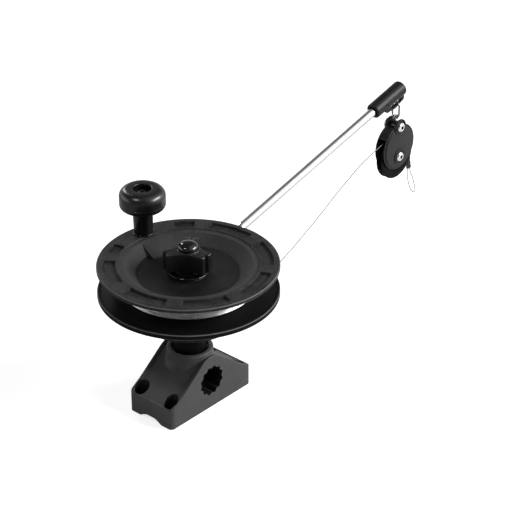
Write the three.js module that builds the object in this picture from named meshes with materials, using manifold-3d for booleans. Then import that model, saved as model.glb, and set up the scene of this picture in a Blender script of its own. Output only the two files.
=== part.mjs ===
// A hand-cranked downrigger: deck bracket, splined post, reel frame with a bent boom, cable spool with
// its crank and drag clutch, and a pulley block that hangs from the boom's tip. Millimetres, +Z up, +Y
// along the boom. The origin is the middle of the bracket's underside, and the post, the spindle and the
// spool share the Z axis.
import * as THREE from "three";
import { mergeVertices } from "three/addons/utils/BufferGeometryUtils.js";
import Module from "manifold-3d";

// Clearances that every fit takes its size from.
const runningGap = 0.3;
const seatGap = 0.3;
const cutOverrun = 2;
const weldDistance = 0.0001;

// Facets round a circle, by size.
const wideFacets = 36;
const midFacets = 24;
const smallFacets = 16;
const tinyFacets = 10;
const pipeSides = 8;

// Steps in a rounded corner, by size.
const bendSteps = 6;
const cornerSteps = 3;
const edgeSteps = 1;

// Deck bracket.
const bracketLength = 99;
const bracketWidth = 49.5;
const endWallHeight = 18.6;
const endWallDraft = 0.6;
const bracketCornerRadius = 3;
const bracketEdgeRound = 0.9;
const ridgeHeight = 49.8;
const ridgeRadius = 18;
const flankBreakInset = 13.5;
const flankBreakHeight = 26.6;
const slopeRecessDepth = 1.3;
const sideRimWidth = 2.8;
const endRimWidth = 1.6;
const collarRadius = 19.9;
const collarRise = 1.7;
const collarEdgeRound = 1.2;
const collarFlare = 2.2;
const collarFlareHeight = 6;
const socketFloorHeight = 6;
const socketMouthRadius = 15.6;
const socketMouthDepth = 3;
const crossHoleHeight = 26.4;
const splineTeeth = 12;
const splineTipRadius = 13;
const splineRootRadius = 11.7;
const toothShares = [0, 0, 1, 1];
const screwHoleAcross = 17;
const screwHoleInset = 8.4;
const screwHoleRadius = 2.9;
const screwSeatRadius = 6.2;
const screwSeatHeight = 7;
const notchWidth = 20;
const notchHeight = 3.5;
const notchLength = 9;
const notchArchShares = [
  [1, 0],
  [0.8, 0.62],
  [0.45, 1],
  [-0.45, 1],
  [-0.8, 0.62],
  [-1, 0],
];
const corePocketDepth = 18;
const corePocketWall = 4;
const corePocketRib = 3;
const socketWall = 6;
const screwBossWall = 2.4;

// Post and spindle.
const neckRadius = 13.6;
const neckFlareRadius = 17;
const neckFlareHeight = 7;
const postEdgeRound = 1;
const postBoreRadius = 8.6;
const spindleRadius = 4;
const spindleHeadRadius = 7.4;
const spindleHeadHeight = 5;
const spindleSeatHeight = 66;
const spindleTop = 144.6;
const nutRadius = 7.4;
const nutHeight = 6.5;

// Reel frame: a round pan under the spool, with an arm to the boom's clamp.
const panBottom = 80;
const panRadius = 44;
const panWall = 3;
const panFloor = 4;
const panTop = 101.5;
const panEdgeRound = 1.6;
const panTickWidth = 1.4;
const panTickDepth = 0.7;
const panTickDegrees = -33;
const panRibCount = 6;
const panRibWidth = 2.4;
const panRibTop = 92;
const centreBossRadius = 13;
const centreBossTop = 90;
const brakeWallInset = 4;
const brakeWallWidth = 6;
const brakeLiningThickness = 3;
const armWidth = 20;
const armBottom = 83;
const armTop = 99.5;
const armWall = 3;
const clampRadius = 10;
const clampBottom = 77;
const clampTop = 102;
const clampSlit = 1.6;
const clampEarWidth = 16;
const clampEarReach = 20;
const clampEarBottom = 82;
const clampEarTop = 99;
const clampScrewReach = 14.4;
const clampScrewRadius = 2.5;
const clampHeadRadius = 4.6;
const clampHeadHeight = 3;

// Boom rod and its tip.
const boomRadius = 3.95;
const boomSide = -22;
const boomLegForward = 82;
const boomHeightAtAxis = 96.7;
const boomRiseShare = 0.256;
const boomBendRadius = 12;
const boomLegBottom = 80.3;
const boomSides = 16;
const boomBendSteps = 9;
const tipNearForward = 268.6;
const tipLength = 42.2;
const tipRadius = 7.15;
const tipBoreRadius = 4.9;
const tipBoreDepth = 34;
const tipEdgeRound = 1.6;
const tipMouthRound = 0.5;
const railThickness = 3.2;
const railStart = 15.6;
const railLobeRadius = 2.3;
const railLobeDrop = 10.8;
const railBelly = 14.9;
const railShoulderShare = 0.965;
const railEndReach = 0.6;
const railSlotStart = 23.4;
const railSlotLength = 15.2;
const railSlotTop = 7.7;
const railSlotHeight = 4.7;
const tipPinRadius = 1.5;
const tipPinInset = 12;

// Spool.
const flangeRadius = 76;
const spoolBoreRadius = 7;
const spoolUnderside = 102.1;
const spoolFloor = 3.5;
const windingDepth = 10;
const drumWall = 3;
const drumTop = 118.7;
const lowerFaceInner = 110.2;
const lowerFaceFall = 3.3;
const lowerPlate = 3.3;
const lowerLip = 0.5;
const rimRound = 0.8;
const lipWidth = 2.8;
const hubWallRadius = 12;
const upperUnderside = 119;
const upperFloorTop = 122;
const dishFloorRadius = 43;
const dishRimRadius = 58.2;
const dishLedgeRadius = 53.8;
const dishLedgeTop = 130.5;
const plateTop = 131.4;
const plateUnderside = 127.6;
const rimUnderside = 128.4;
const coneUndersideInner = 44.2;
const coneUndersideOuter = 59.1;
const pocketInner = 60.2;
const pocketOuter = 70.8;
const pocketDepth = 2;
const pocketCount = 8;
const pocketSpanDegrees = 34;
const pocketFirstDegrees = 10.5;
const pocketSteps = 5;
const rampDegrees = 169.3;
const rampWidth = 21;
const rampInner = 34;
const rampLandDegrees = 25.4;
const spoolScrewCircle = 24;
const spoolScrewCount = 3;
const spoolScrewDegrees = 60;
const spoolPostRadius = 4.6;
const spoolScrewRadius = 1.6;
const spoolScrewHeadRadius = 3.2;
const spoolScrewHeadHeight = 2;
const spoolScrewTop = 120.8;
const bushingWall = 2.4;

// Wound cable.
const cableDiameter = 0.85;
const windingRadius = 56;
const windingTurns = 10.5;
const windingStepsPerTurn = 24;
const windingSides = 6;
const leadDegrees = 16;
const leadHeight = 116.5;
const leadStraight = 12;
const anchorBend = 1.25;
const anchorSteps = 4;

// Crank handle.
const stemCircle = 64.4;
const stemRingRadius = 8.8;
const stemRingHeight = 1.2;
const stemBaseRadius = 8.05;
const stemTopRadius = 8.85;
const stemHeight = 22;
const journalRadius = 5.5;
const journalHeight = 11.3;
const knobRadius = 19.75;
const knobHeight = 18.5;
const knobTopRound = 7;
const knobBottomRound = 4;
const knobRecessRadius = 8;
const handleScrewRadius = 2.5;
const handleHeadRadius = 4.3;
const handleHeadHeight = 3;
const buttonShares = [
  [0, 0],
  [1, 0],
  [1, 0.34],
  [0.84, 0.75],
  [0.52, 1],
  [0, 1],
];
const handleWasherRadius = 7.2;
const handleWasherHeight = 1;

// Drag clutch.
const dragLiningRadius = 16;
const dragLiningThickness = 1.2;
const dragWasherRadius = 17.3;
const dragWasherThickness = 1.5;
const clutchHubRadius = 12;
const clutchSkirtBottom = 128.3;
const clutchTop = 144.6;
const clutchLobes = 3;
const clutchDegrees = 5;
const clutchLobeReach = 20;
const clutchLobeWidth = 9.6;
const clutchWaist = 9.4;
const clutchEdgeRound = 0.7;
const clutchCornerRound = 1.3;
const clutchFlatShare = 0.75;
const clutchArcSteps = 7;
const clutchCollarRadius = 9.6;
const clutchCollarHeight = 1;
const clutchInsertRadius = 6.5;
const clutchInsertHeight = 10;
const capRadius = 8.3;
const capHeight = 4.9;

// Pulley block.
const sheaveHeadroom = 3.7;
const cheekCentreRise = 9.7;
const cheekRadius = 22.4;
const cheekThickness = 2.3;
const cheekGap = 7.4;
const cheekEdgeRound = 0.5;
const lugRadius = 7.3;
const bossRingRadius = 7.4;
const bossRingWidth = 1.5;
const bossRingHeight = 0.6;
const blockScrewRadius = 2.5;
const buttonRadius = 4.5;
const buttonHeight = 2.4;
const hexSocketRadius = 1.7;
const hexSocketDepth = 1.4;
const blockNutRadius = 4.6;
const blockNutHeight = 4;
const sheaveRadius = 22.5;
const sheaveWidth = 6.6;
const grooveRadius = 19.5;
const grooveFloorWidth = 1.7;
const grooveMouthWidth = 4.4;
const sheaveWebInner = 7.2;
const sheaveWebOuter = 16.4;
const sheaveWebDepth = 1.1;
const sheaveBushingWall = 1.5;
const linkWidth = 9.5;
const linkWire = 1.8;
const linkLength = 16.6;
const linkAlong = 31.92;
const linkRide = 0.63;
const linkSteps = 8;
const eyeWire = 1.5;
const eyeInnerRadius = 1.95;
const eyeSteps = 12;
const eyeShankRadius = 0.9;
const knuckleRadius = 3.9;
const swivelDrop = 7.9;

// Cable past the spool. Its points were chosen by hand along the line that it takes.
const runRoute = [
  [37.6, 77, 117.4],
  [32, 97.4, 118.2],
  [26, 117, 119.1],
  [20, 137, 120.1],
  [13.7, 157, 121.3],
  [7.3, 177.1, 122.6],
  [1, 197.7, 123.9],
  [-5.2, 218.8, 125.1],
  [-11.4, 240.4, 126.2],
  [-16.3, 262, 127],
  [-20.2, 281, 127.6],
  [-21.4, 290, 128.3],
];
const runSteps = 40;
const cableSides = 8;
const sheaveTopDegrees = 90;
const sheaveEndDegrees = 2;
const sheaveArcPoints = 6;
const tailSteps = 22;
const crimpRadius = 1.9;
const crimpWidth = 2.9;
const crimpLength = 11;
const crimpTop = [-22, 323.6, 97.4];
const crimpLeanDegrees = 12;
const loopStrandGap = 1.3;
const loopRoute = [
  [-22, 328.8, 80.6],
  [-22, 332.4, 73.6],
  [-22, 335.6, 65],
  [-22, 337.4, 58.6],
  [-22, 336.2, 56.4],
  [-22, 333, 58.2],
  [-22, 328.6, 65],
  [-22, 325.4, 74],
  [-22, 325, 80.6],
];
const loopSteps = 24;

// Places worked out from the sizes above.
const collarHeight = ridgeHeight + collarRise;
const bracketHalfLength = bracketLength / 2;
const bracketHalfWidth = bracketWidth / 2;
const screwHoleForward = bracketHalfLength - screwHoleInset;
const socketTipRadius = splineTipRadius + runningGap;
const socketRootRadius = splineRootRadius + runningGap;
const neckBottom = collarHeight - socketMouthDepth + seatGap;
const boomAngle = Math.atan(boomRiseShare);
const boomLegDistance = Math.hypot(boomSide, boomLegForward);
const armTurn = Math.atan2(boomLegForward, boomSide);
const brakeWallOuter = panRadius - panWall - brakeWallInset;
const brakeWallInner = brakeWallOuter - brakeWallWidth;
const brakeSeat = spoolUnderside - runningGap - brakeLiningThickness - seatGap;
const drumRadius = windingRadius - windingDepth;
const dragLiningBottom = upperFloorTop + seatGap;
const dragWasherBottom = dragLiningBottom + dragLiningThickness + seatGap;
const clutchBottom = dragWasherBottom + dragWasherThickness + seatGap;
const cableRadius = cableDiameter / 2;
const stemBottom = plateTop + 2 * seatGap + stemRingHeight;
const stemTop = stemBottom + stemHeight;
const journalTop = stemTop + journalHeight;
const knobBottom = stemTop + runningGap;
const knobTop = knobBottom + knobHeight;
const knobRecessFloor = journalTop - seatGap;
const [blockForward, slotFloorHeight] = onTip(linkAlong, -railSlotTop - railSlotHeight);
const linkTop = slotFloorHeight + linkRide + linkWire;
const linkBottom = linkTop - linkLength;
const hangerHeight = linkBottom - swivelDrop;
const axleHeight = hangerHeight - sheaveRadius - knuckleRadius - sheaveHeadroom;
const leadRadius = windingRadius + cableDiameter + runningGap;
const windingChordRadius = windingRadius * Math.cos(Math.PI / windingStepsPerTurn);
const coreRadius = windingChordRadius - cableRadius - seatGap;
const stemForward = stemCircle * Math.sin(radians(rampDegrees));
const stemSide = stemCircle * Math.cos(radians(rampDegrees));
const blockOuterHalf = cheekGap / 2 + cheekThickness;
const sheaveCableRadius = grooveRadius + runningGap + cableRadius;

const wasm = await Module();
wasm.setup();

// A closed geometry as a solid that can be joined and cut. Triangles without area are left out.
function solid(geometry) {
  const bare = geometry.clone();
  bare.deleteAttribute("normal");
  bare.deleteAttribute("uv");
  const merged = mergeVertices(bare, weldDistance);
  const corners = merged.index.array;
  const kept = [];
  for (let i = 0; i < corners.length; i += 3) {
    const [a, b, c] = [corners[i], corners[i + 1], corners[i + 2]];
    if (a !== b && b !== c && c !== a) kept.push(a, b, c);
  }
  return new wasm.Manifold(
    new wasm.Mesh({
      numProp: 3,
      vertProperties: merged.attributes.position.array,
      triVerts: new Uint32Array(kept),
    }),
  );
}

// All the geometries as one solid.
function joined(...pieces) {
  return pieces.map(asSolid).reduce((whole, piece) => whole.add(piece));
}

// The first geometry with the others cut out of it.
function cut(body, ...tools) {
  return tools.map(asSolid).reduce((whole, tool) => whole.subtract(tool), asSolid(body));
}

function asSolid(piece) {
  return piece.isBufferGeometry ? solid(piece) : piece;
}

function radians(degrees) {
  return (degrees * Math.PI) / 180;
}

// The point at a radius and a turn in degrees about the Z axis.
function onCircle(radius, degrees) {
  return [radius * Math.cos(radians(degrees)), radius * Math.sin(radians(degrees))];
}

// A turned piece about the Z axis. Its [radius, height] corners run up the outside and close on themselves.
function turned(corners, facets) {
  const outline = [...corners, corners[0]].map(([radius, height]) => new THREE.Vector2(radius, height));
  return new THREE.LatheGeometry(outline, facets).rotateX(Math.PI / 2);
}

// An upright cylinder between two heights.
function pillar(radius, bottom, top, facets = smallFacets) {
  const height = top - bottom;
  return new THREE.CylinderGeometry(radius, radius, height, facets)
    .rotateX(Math.PI / 2)
    .translate(0, 0, bottom + height / 2);
}

// A cylinder along X between two places.
function crossPin(radius, from, to, facets = smallFacets) {
  return pillar(radius, from, to, facets).rotateY(Math.PI / 2);
}

// An outline in X and Y carried up between two heights.
function prism(outline, bottom, top) {
  const shape = new THREE.Shape(outline.map(([x, y]) => new THREE.Vector2(x, y)));
  const body = new THREE.ExtrudeGeometry(shape, { depth: top - bottom, bevelEnabled: false });
  return body.translate(0, 0, bottom);
}

// The same with its edges rounded off at both ends.
function softPrism(outline, bottom, top, round, steps = edgeSteps) {
  const shape = new THREE.Shape(outline.map(([x, y]) => new THREE.Vector2(x, y)));
  const body = new THREE.ExtrudeGeometry(shape, {
    depth: top - bottom - 2 * round,
    bevelEnabled: true,
    bevelThickness: round,
    bevelSize: round,
    bevelOffset: -round,
    bevelSegments: steps,
  });
  return body.translate(0, 0, bottom + round);
}

// A block between two opposite corners.
function block(low, high) {
  const [width, depth, height] = [0, 1, 2].map((i) => high[i] - low[i]);
  const centre = [0, 1, 2].map((i) => (low[i] + high[i]) / 2);
  return new THREE.BoxGeometry(width, depth, height).translate(...centre);
}

// A regular outline, such as a hexagon, with a corner at the turn given.
function regular(radius, sides, turn = 0) {
  return Array.from({ length: sides }, (_, i) => onCircle(radius, turn + (i * 360) / sides));
}

// The corners of an arc about a centre in the plane of an outline, both ends counted.
function arc(centre, radius, from, to, steps) {
  return Array.from({ length: steps + 1 }, (_, i) => {
    const [x, y] = onCircle(radius, from + ((to - from) * i) / steps);
    return [centre[0] + x, centre[1] + y];
  });
}

// A tube through stations, each with its centre, its direction and one side direction, closed by flat ends.
function tube(stations, radius, sides) {
  const places = [];
  const faces = [];
  stations.forEach(({ at, along, side }) => {
    const x = side.clone().normalize();
    const y = along.clone().cross(x).normalize();
    for (let k = 0; k < sides; k++) {
      const [a, b] = onCircle(radius, (k * 360) / sides);
      places.push(...at.clone().addScaledVector(x, a).addScaledVector(y, b).toArray());
    }
  });
  for (let i = 0; i + 1 < stations.length; i++) {
    for (let k = 0; k < sides; k++) {
      const next = (k + 1) % sides;
      const [a, b] = [i * sides + k, i * sides + next];
      const [c, d] = [a + sides, b + sides];
      faces.push(a, b, d, a, d, c);
    }
  }
  const last = (stations.length - 1) * sides;
  for (let k = 1; k + 1 < sides; k++) {
    faces.push(0, k + 1, k, last, last + k, last + k + 1);
  }
  const geometry = new THREE.BufferGeometry();
  geometry.setAttribute("position", new THREE.Float32BufferAttribute(places, 3));
  geometry.setIndex(faces);
  return geometry;
}

// A tube whose centre line lies in one plane, open or closed on itself at its flat ends.
function planeTube(points, normal, radius, sides) {
  const stations = points.map((at, i) => {
    const before = points[Math.max(i - 1, 0)];
    const after = points[Math.min(i + 1, points.length - 1)];
    return { at, along: after.clone().sub(before).normalize(), side: normal };
  });
  return tube(stations, radius, sides);
}

// A round cable along a smooth line through its points.
function cable(points, steps) {
  const line = new THREE.CatmullRomCurve3(points.map((p) => new THREE.Vector3(...p)));
  const outline = regular(cableRadius, cableSides).map(([x, y]) => new THREE.Vector2(x, y));
  const section = new THREE.Shape(outline);
  return new THREE.ExtrudeGeometry(section, { steps, extrudePath: line, bevelEnabled: false });
}

// The rounded tooth outline that the post and its sockets share: even teeth with soft tips and roots.
function splineOutline(rootRadius, tipRadius) {
  const steps = splineTeeth * toothShares.length;
  return Array.from({ length: steps }, (_, i) => {
    const radius = rootRadius + (tipRadius - rootRadius) * toothShares[i % toothShares.length];
    return onCircle(radius, (i * 360) / steps);
  });
}

// A rounded rectangle about the origin.
function roundedRectangle(halfX, halfY, radius, steps) {
  const corner = (signX, signY, from) =>
    arc([signX * (halfX - radius), signY * (halfY - radius)], radius, from, from + 90, steps);
  return [...corner(1, 1, 0), ...corner(-1, 1, 90), ...corner(-1, -1, 180), ...corner(1, -1, 270)];
}

// Deck bracket.

// The bracket's roof line from the front wall over the ridge to the back wall, in Y and Z, lowered by a drop.
function roofLine(drop) {
  const centreHeight = ridgeHeight - ridgeRadius;
  const breakForward = bracketHalfLength - flankBreakInset;
  const reach = Math.hypot(breakForward, flankBreakHeight - centreHeight);
  const tilt = Math.atan2(flankBreakHeight - centreHeight, breakForward) + Math.acos(ridgeRadius / reach);
  const touch = (tilt * 180) / Math.PI;
  const ridge = arc([0, centreHeight - drop], ridgeRadius, touch, 180 - touch, bendSteps);
  const wall = bracketHalfLength - endWallDraft;
  return [
    [wall, endWallHeight - drop],
    [breakForward, flankBreakHeight - drop],
    ...ridge,
    [-breakForward, flankBreakHeight - drop],
    [-wall, endWallHeight - drop],
  ];
}

// An outline in Y and Z carried along X.
function alongX(outline, from, to, round = 0) {
  const body = round ? softPrism(outline, from, to, round) : prism(outline, from, to);
  return body.rotateX(Math.PI / 2).rotateZ(Math.PI / 2);
}

function deckBracket() {
  const side = [[-bracketHalfLength, 0], [bracketHalfLength, 0], ...roofLine(0)];
  const wedge = alongX(side, -bracketHalfWidth, bracketHalfWidth, bracketEdgeRound);
  const plan = prism(
    roundedRectangle(bracketHalfWidth, bracketHalfLength, bracketCornerRadius, cornerSteps),
    0,
    ridgeHeight + cutOverrun,
  );
  const high = ridgeHeight + cutOverrun;
  const recessHalf = bracketHalfWidth - sideRimWidth;
  const recessEnd = bracketHalfLength - endRimWidth;
  const sunkRoof = roofLine(slopeRecessDepth);
  const recessOutline = [[bracketHalfLength, high], ...sunkRoof, [-bracketHalfLength, high]];
  const recess = solid(alongX(recessOutline.reverse(), -recessHalf, recessHalf)).intersect(
    solid(block([-recessHalf, -recessEnd, 0], [recessHalf, recessEnd, high + cutOverrun])),
  );
  const shell = asSolid(wedge).intersect(solid(plan)).subtract(recess);
  const body = joined(shell, collar());
  return cut(
    body,
    prism(splineOutline(socketRootRadius, socketTipRadius), socketFloorHeight, collarHeight),
    pillar(socketMouthRadius, collarHeight - socketMouthDepth, collarHeight + cutOverrun, midFacets),
    crossHole(),
    ...[-1, 1].flatMap((x) => [-1, 1].map((y) => screwHole(x * screwHoleAcross, y * screwHoleForward))),
    ...[-1, 1].map(cableNotch),
    ...[-1, 1].flatMap((x) => [-1, 1].map((y) => corePocket(x, y))),
  );
}

// The collar stands in the ridge and flares where the slopes meet it.
function collar() {
  const flareTop = collarHeight - socketMouthDepth - collarFlareHeight;
  return turned(
    [
      [0, socketFloorHeight],
      [collarRadius, socketFloorHeight],
      [collarRadius + collarFlare / 4, flareTop],
      [collarRadius, flareTop + collarFlareHeight],
      [collarRadius - collarEdgeRound / 4, collarHeight - collarEdgeRound],
      [collarRadius - collarEdgeRound, collarHeight],
      [0, collarHeight],
    ],
    midFacets,
  );
}

function crossHole() {
  const half = bracketHalfWidth + cutOverrun;
  const outline = splineOutline(socketRootRadius, socketTipRadius);
  return alongX(outline, -half, half).translate(0, 0, crossHoleHeight);
}

function screwHole(x, y) {
  const high = ridgeHeight;
  return joined(
    pillar(screwHoleRadius, -cutOverrun, high, tinyFacets),
    pillar(screwSeatRadius, screwSeatHeight, high, smallFacets),
  ).translate([x, y, 0]);
}

function cableNotch(end) {
  const half = notchWidth / 2;
  const arch = notchArchShares.map(([across, up]) => [half * across, notchHeight * up]);
  const outline = [[-half, -cutOverrun], [half, -cutOverrun], ...arch];
  const [from, to] = [bracketHalfLength - notchLength, bracketHalfLength + cutOverrun];
  return prism(outline, from, to)
    .rotateX(Math.PI / 2)
    .rotateZ(end > 0 ? Math.PI : 0);
}

function corePocket(signX, signY) {
  const near = socketTipRadius + socketWall;
  const far = screwHoleForward - screwSeatRadius - screwBossWall;
  const [inner, outer] = [corePocketRib / 2, bracketHalfWidth - corePocketWall];
  const xs = [signX * inner, signX * outer].sort((a, b) => a - b);
  const ys = [signY * near, signY * far].sort((a, b) => a - b);
  return block([xs[0], ys[0], -cutOverrun], [xs[1], ys[1], corePocketDepth]);
}

// Post and spindle.

function splinedPost() {
  const teeth = prism(
    splineOutline(splineRootRadius, splineTipRadius),
    socketFloorHeight + seatGap,
    neckBottom + postEdgeRound,
  );
  const top = panBottom - seatGap;
  const neck = turned(
    [
      [0, neckBottom],
      [neckRadius - postEdgeRound, neckBottom],
      [neckRadius, neckBottom + postEdgeRound],
      [neckRadius, top - neckFlareHeight],
      [neckFlareRadius, top - postEdgeRound],
      [neckFlareRadius, top],
      [0, top],
    ],
    midFacets,
  );
  return cut(
    joined(teeth, neck),
    pillar(spindleRadius + runningGap, 0, top + cutOverrun, tinyFacets),
    pillar(postBoreRadius, 0, spindleSeatHeight, smallFacets),
  );
}

function spindle() {
  const headTop = spindleSeatHeight - seatGap;
  return joined(
    prism(regular(spindleHeadRadius, 6), headTop - spindleHeadHeight, headTop),
    pillar(spindleRadius, headTop - spindleHeadHeight / 2, spindleTop, smallFacets),
  );
}

function spindleNut() {
  const bottom = centreBossTop + seatGap;
  return cut(
    prism(regular(nutRadius, 6), bottom, bottom + nutHeight),
    pillar(spindleRadius + runningGap, bottom - cutOverrun, bottom + nutHeight + cutOverrun, smallFacets),
  );
}

// Reel frame.

function frameBase() {
  const innerRadius = panRadius - panWall;
  const floorTop = panBottom + panFloor;
  const pan = turned(
    [
      [0, panBottom],
      [panRadius - panEdgeRound, panBottom],
      [panRadius, panBottom + panEdgeRound],
      [panRadius, panTop],
      [innerRadius, panTop],
      [innerRadius, floorTop],
      [brakeWallOuter, floorTop],
      [brakeWallOuter, brakeSeat],
      [brakeWallInner, brakeSeat],
      [brakeWallInner, floorTop],
      [centreBossRadius, floorTop],
      [centreBossRadius, centreBossTop],
      [0, centreBossTop],
    ],
    midFacets,
  );
  const ribs = Array.from({ length: panRibCount }, (_, i) => {
    const rib = block(
      [centreBossRadius - panRibWidth / 2, -panRibWidth / 2, panBottom + panFloor / 2],
      [panRadius - panWall / 2, panRibWidth / 2, panRibTop],
    );
    return rib.rotateZ((i * 2 * Math.PI) / panRibCount);
  });
  const arm = boomArm();
  const clamp = boomClamp();
  const body = joined(pan, arm, clamp);
  const inside = turned(
    [
      [centreBossRadius, floorTop],
      [innerRadius, floorTop],
      [innerRadius, panTop + cutOverrun],
      [centreBossRadius, panTop + cutOverrun],
    ],
    midFacets,
  );
  const kept = joined(solid(pan), cut(body, inside), ...ribs);
  return cut(
    kept,
    pillar(spindleRadius + runningGap, panBottom - cutOverrun, centreBossTop + cutOverrun, tinyFacets),
    ...clampCuts(),
    panTick(),
  );
}

// The shallow upright groove in the pan's wall.
function panTick() {
  return block(
    [panRadius - panTickDepth, -panTickWidth / 2, panBottom + panEdgeRound],
    [panRadius + cutOverrun, panTickWidth / 2, panTop - panEdgeRound],
  ).rotateZ(radians(panTickDegrees));
}

// The arm is a channel, open below, from the pan's wall to the clamp.
function boomArm() {
  const half = armWidth / 2;
  const near = panRadius - panWall;
  const bar = block([near, -half, armBottom], [boomLegDistance, half, armTop]);
  const hollow = block(
    [near + 2 * armWall, armWall - half, armBottom - cutOverrun],
    [boomLegDistance - clampRadius, half - armWall, armTop - armWall],
  );
  return cut(bar.rotateZ(armTurn), hollow.rotateZ(armTurn));
}

function boomClamp() {
  const boss = pillar(clampRadius, clampBottom, clampTop, midFacets).translate(boomSide, boomLegForward, 0);
  const ears = block(
    [boomSide - clampEarWidth / 2, boomLegForward, clampEarBottom],
    [boomSide + clampEarWidth / 2, boomLegForward + clampEarReach, clampEarTop],
  );
  return joined(boss, ears);
}

function clampCuts() {
  const bore = pillar(boomRadius + runningGap, boomLegBottom - seatGap, clampTop + cutOverrun, smallFacets);
  const slit = block(
    [boomSide - clampSlit / 2, boomLegForward, boomLegBottom - seatGap],
    [boomSide + clampSlit / 2, boomLegForward + clampEarReach + cutOverrun, clampTop + cutOverrun],
  );
  const half = clampEarWidth / 2 + cutOverrun;
  const hole = crossPin(clampScrewRadius + runningGap, -half, half, tinyFacets);
  return [
    bore.translate(boomSide, boomLegForward, 0),
    slit,
    hole.translate(boomSide, boomLegForward + clampScrewReach, clampScrewHeight()),
  ];
}

function clampScrewHeight() {
  return (clampEarBottom + clampEarTop) / 2;
}

function boomClampScrew() {
  const seat = clampEarWidth / 2 + seatGap;
  return joined(
    crossPin(clampHeadRadius, seat, seat + clampHeadHeight),
    crossPin(clampScrewRadius, -seat - clampHeadHeight - seatGap, seat + clampHeadHeight / 2, tinyFacets),
  ).translate([boomSide, boomLegForward + clampScrewReach, clampScrewHeight()]);
}

function boomClampNut() {
  const seat = clampEarWidth / 2 + seatGap;
  return cut(
    prism(regular(clampHeadRadius, 6), -seat - clampHeadHeight, -seat).rotateY(Math.PI / 2),
    crossPin(clampScrewRadius + runningGap, -seat - clampHeadHeight - cutOverrun, 0, tinyFacets),
  ).translate([boomSide, boomLegForward + clampScrewReach, clampScrewHeight()]);
}

function brakeLining() {
  const bottom = brakeSeat + seatGap;
  const [inner, outer] = [brakeWallInner + seatGap, brakeWallOuter - seatGap];
  return ringOf(inner, outer, bottom, bottom + brakeLiningThickness, midFacets);
}

// A flat ring about the Z axis.
function ringOf(inner, outer, bottom, top, facets) {
  return turned(
    [
      [inner, bottom],
      [outer, bottom],
      [outer, top],
      [inner, top],
    ],
    facets,
  );
}

// Boom rod and tip. The rod stands in its clamp, bends and rises straight to the tip.

// The height of the boom's centre line at a distance forward of the spindle.
function boomHeight(forward) {
  return boomHeightAtAxis + boomRiseShare * forward;
}

// A place on the boom, from its distance along the tip, its side offset and its height off the centre line.
function onTip(along, up) {
  return [
    tipNearForward + along * Math.cos(boomAngle) - up * Math.sin(boomAngle),
    boomHeight(tipNearForward) + along * Math.sin(boomAngle) + up * Math.cos(boomAngle),
  ];
}

function boomRod() {
  const turn = Math.PI / 2 - boomAngle;
  const setback = boomBendRadius * Math.tan(turn / 2);
  const corner = boomHeight(boomLegForward);
  const centre = [boomLegForward + boomBendRadius, corner - setback];
  const bend = arc(centre, boomBendRadius, 180, 180 - (turn * 180) / Math.PI, boomBendSteps);
  const end = onTip(tipBoreDepth - seatGap, 0);
  const points = [[boomLegForward, boomLegBottom], ...bend, end].map(
    ([forward, height]) => new THREE.Vector3(boomSide, forward, height),
  );
  return planeTube(points, new THREE.Vector3(1, 0, 0), boomRadius, boomSides);
}

// The sleeve closes the rod's end and carries the slotted rail that the block hangs from. It is made along Y
// from its near face and then turned up to the boom's rise.
function boomTip() {
  const half = railThickness / 2;
  const sleeve = turned(
    [
      [0, 0],
      [tipRadius - tipMouthRound, 0],
      [tipRadius, tipMouthRound],
      [tipRadius, tipLength - tipEdgeRound],
      [tipRadius - tipEdgeRound / 3, tipLength - tipEdgeRound / 3],
      [tipRadius - tipEdgeRound, tipLength],
      [0, tipLength + tipMouthRound],
    ],
    smallFacets,
  ).rotateX(-Math.PI / 2);
  const lobe = [railStart + railLobeRadius, -railLobeDrop];
  const farLobe = [tipLength - railLobeRadius + railEndReach, -railLobeDrop];
  const belly = [(lobe[0] + farLobe[0]) / 2, -railBelly];
  const outline = [
    [farLobe[0], 0],
    [railStart, 0],
    ...arc(lobe, railLobeRadius, 180, 250, edgeSteps),
    [(lobe[0] + belly[0]) / 2, -railBelly * railShoulderShare],
    belly,
    [(farLobe[0] + belly[0]) / 2, -railBelly * railShoulderShare],
    ...arc(farLobe, railLobeRadius, 290, 360, edgeSteps),
    [farLobe[0] + railLobeRadius, -tipRadius],
  ];
  const rail = alongX(outline, -half, half);
  const slotRadius = railSlotHeight / 2;
  const slotHeight = -railSlotTop - slotRadius;
  const slotEnds = [railSlotStart + slotRadius, railSlotStart + railSlotLength - slotRadius];
  const slot = alongX(
    [
      ...arc([slotEnds[1], slotHeight], slotRadius, -90, 90, cornerSteps),
      ...arc([slotEnds[0], slotHeight], slotRadius, 90, 270, cornerSteps),
    ],
    -half - cutOverrun,
    half + cutOverrun,
  );
  const bore = pillar(tipBoreRadius, -cutOverrun, tipBoreDepth, smallFacets).rotateX(-Math.PI / 2);
  const pinHalf = tipRadius + cutOverrun;
  const pinHole = crossPin(tipPinRadius + runningGap, -pinHalf, pinHalf, tinyFacets);
  return toTip(cut(joined(sleeve, rail), slot, bore, pinHole.translate(0, tipPinInset, 0)));
}

// A solid made along Y from the sleeve's near face, set at its place on the boom.
function toTip(made) {
  const geometry = geometryOf(made).rotateX(boomAngle);
  return solid(geometry.translate(boomSide, tipNearForward, boomHeight(tipNearForward)));
}

// The pin's stub in the sleeve's wall. It stops short of the rod.
function boomTipPin() {
  const length = tipRadius - boomRadius - seatGap;
  const inner = boomRadius + seatGap;
  const pin = crossPin(tipPinRadius, inner, inner + length, tinyFacets);
  return toTip(solid(pin.translate(0, tipPinInset, 0)));
}

// Spool.

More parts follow.
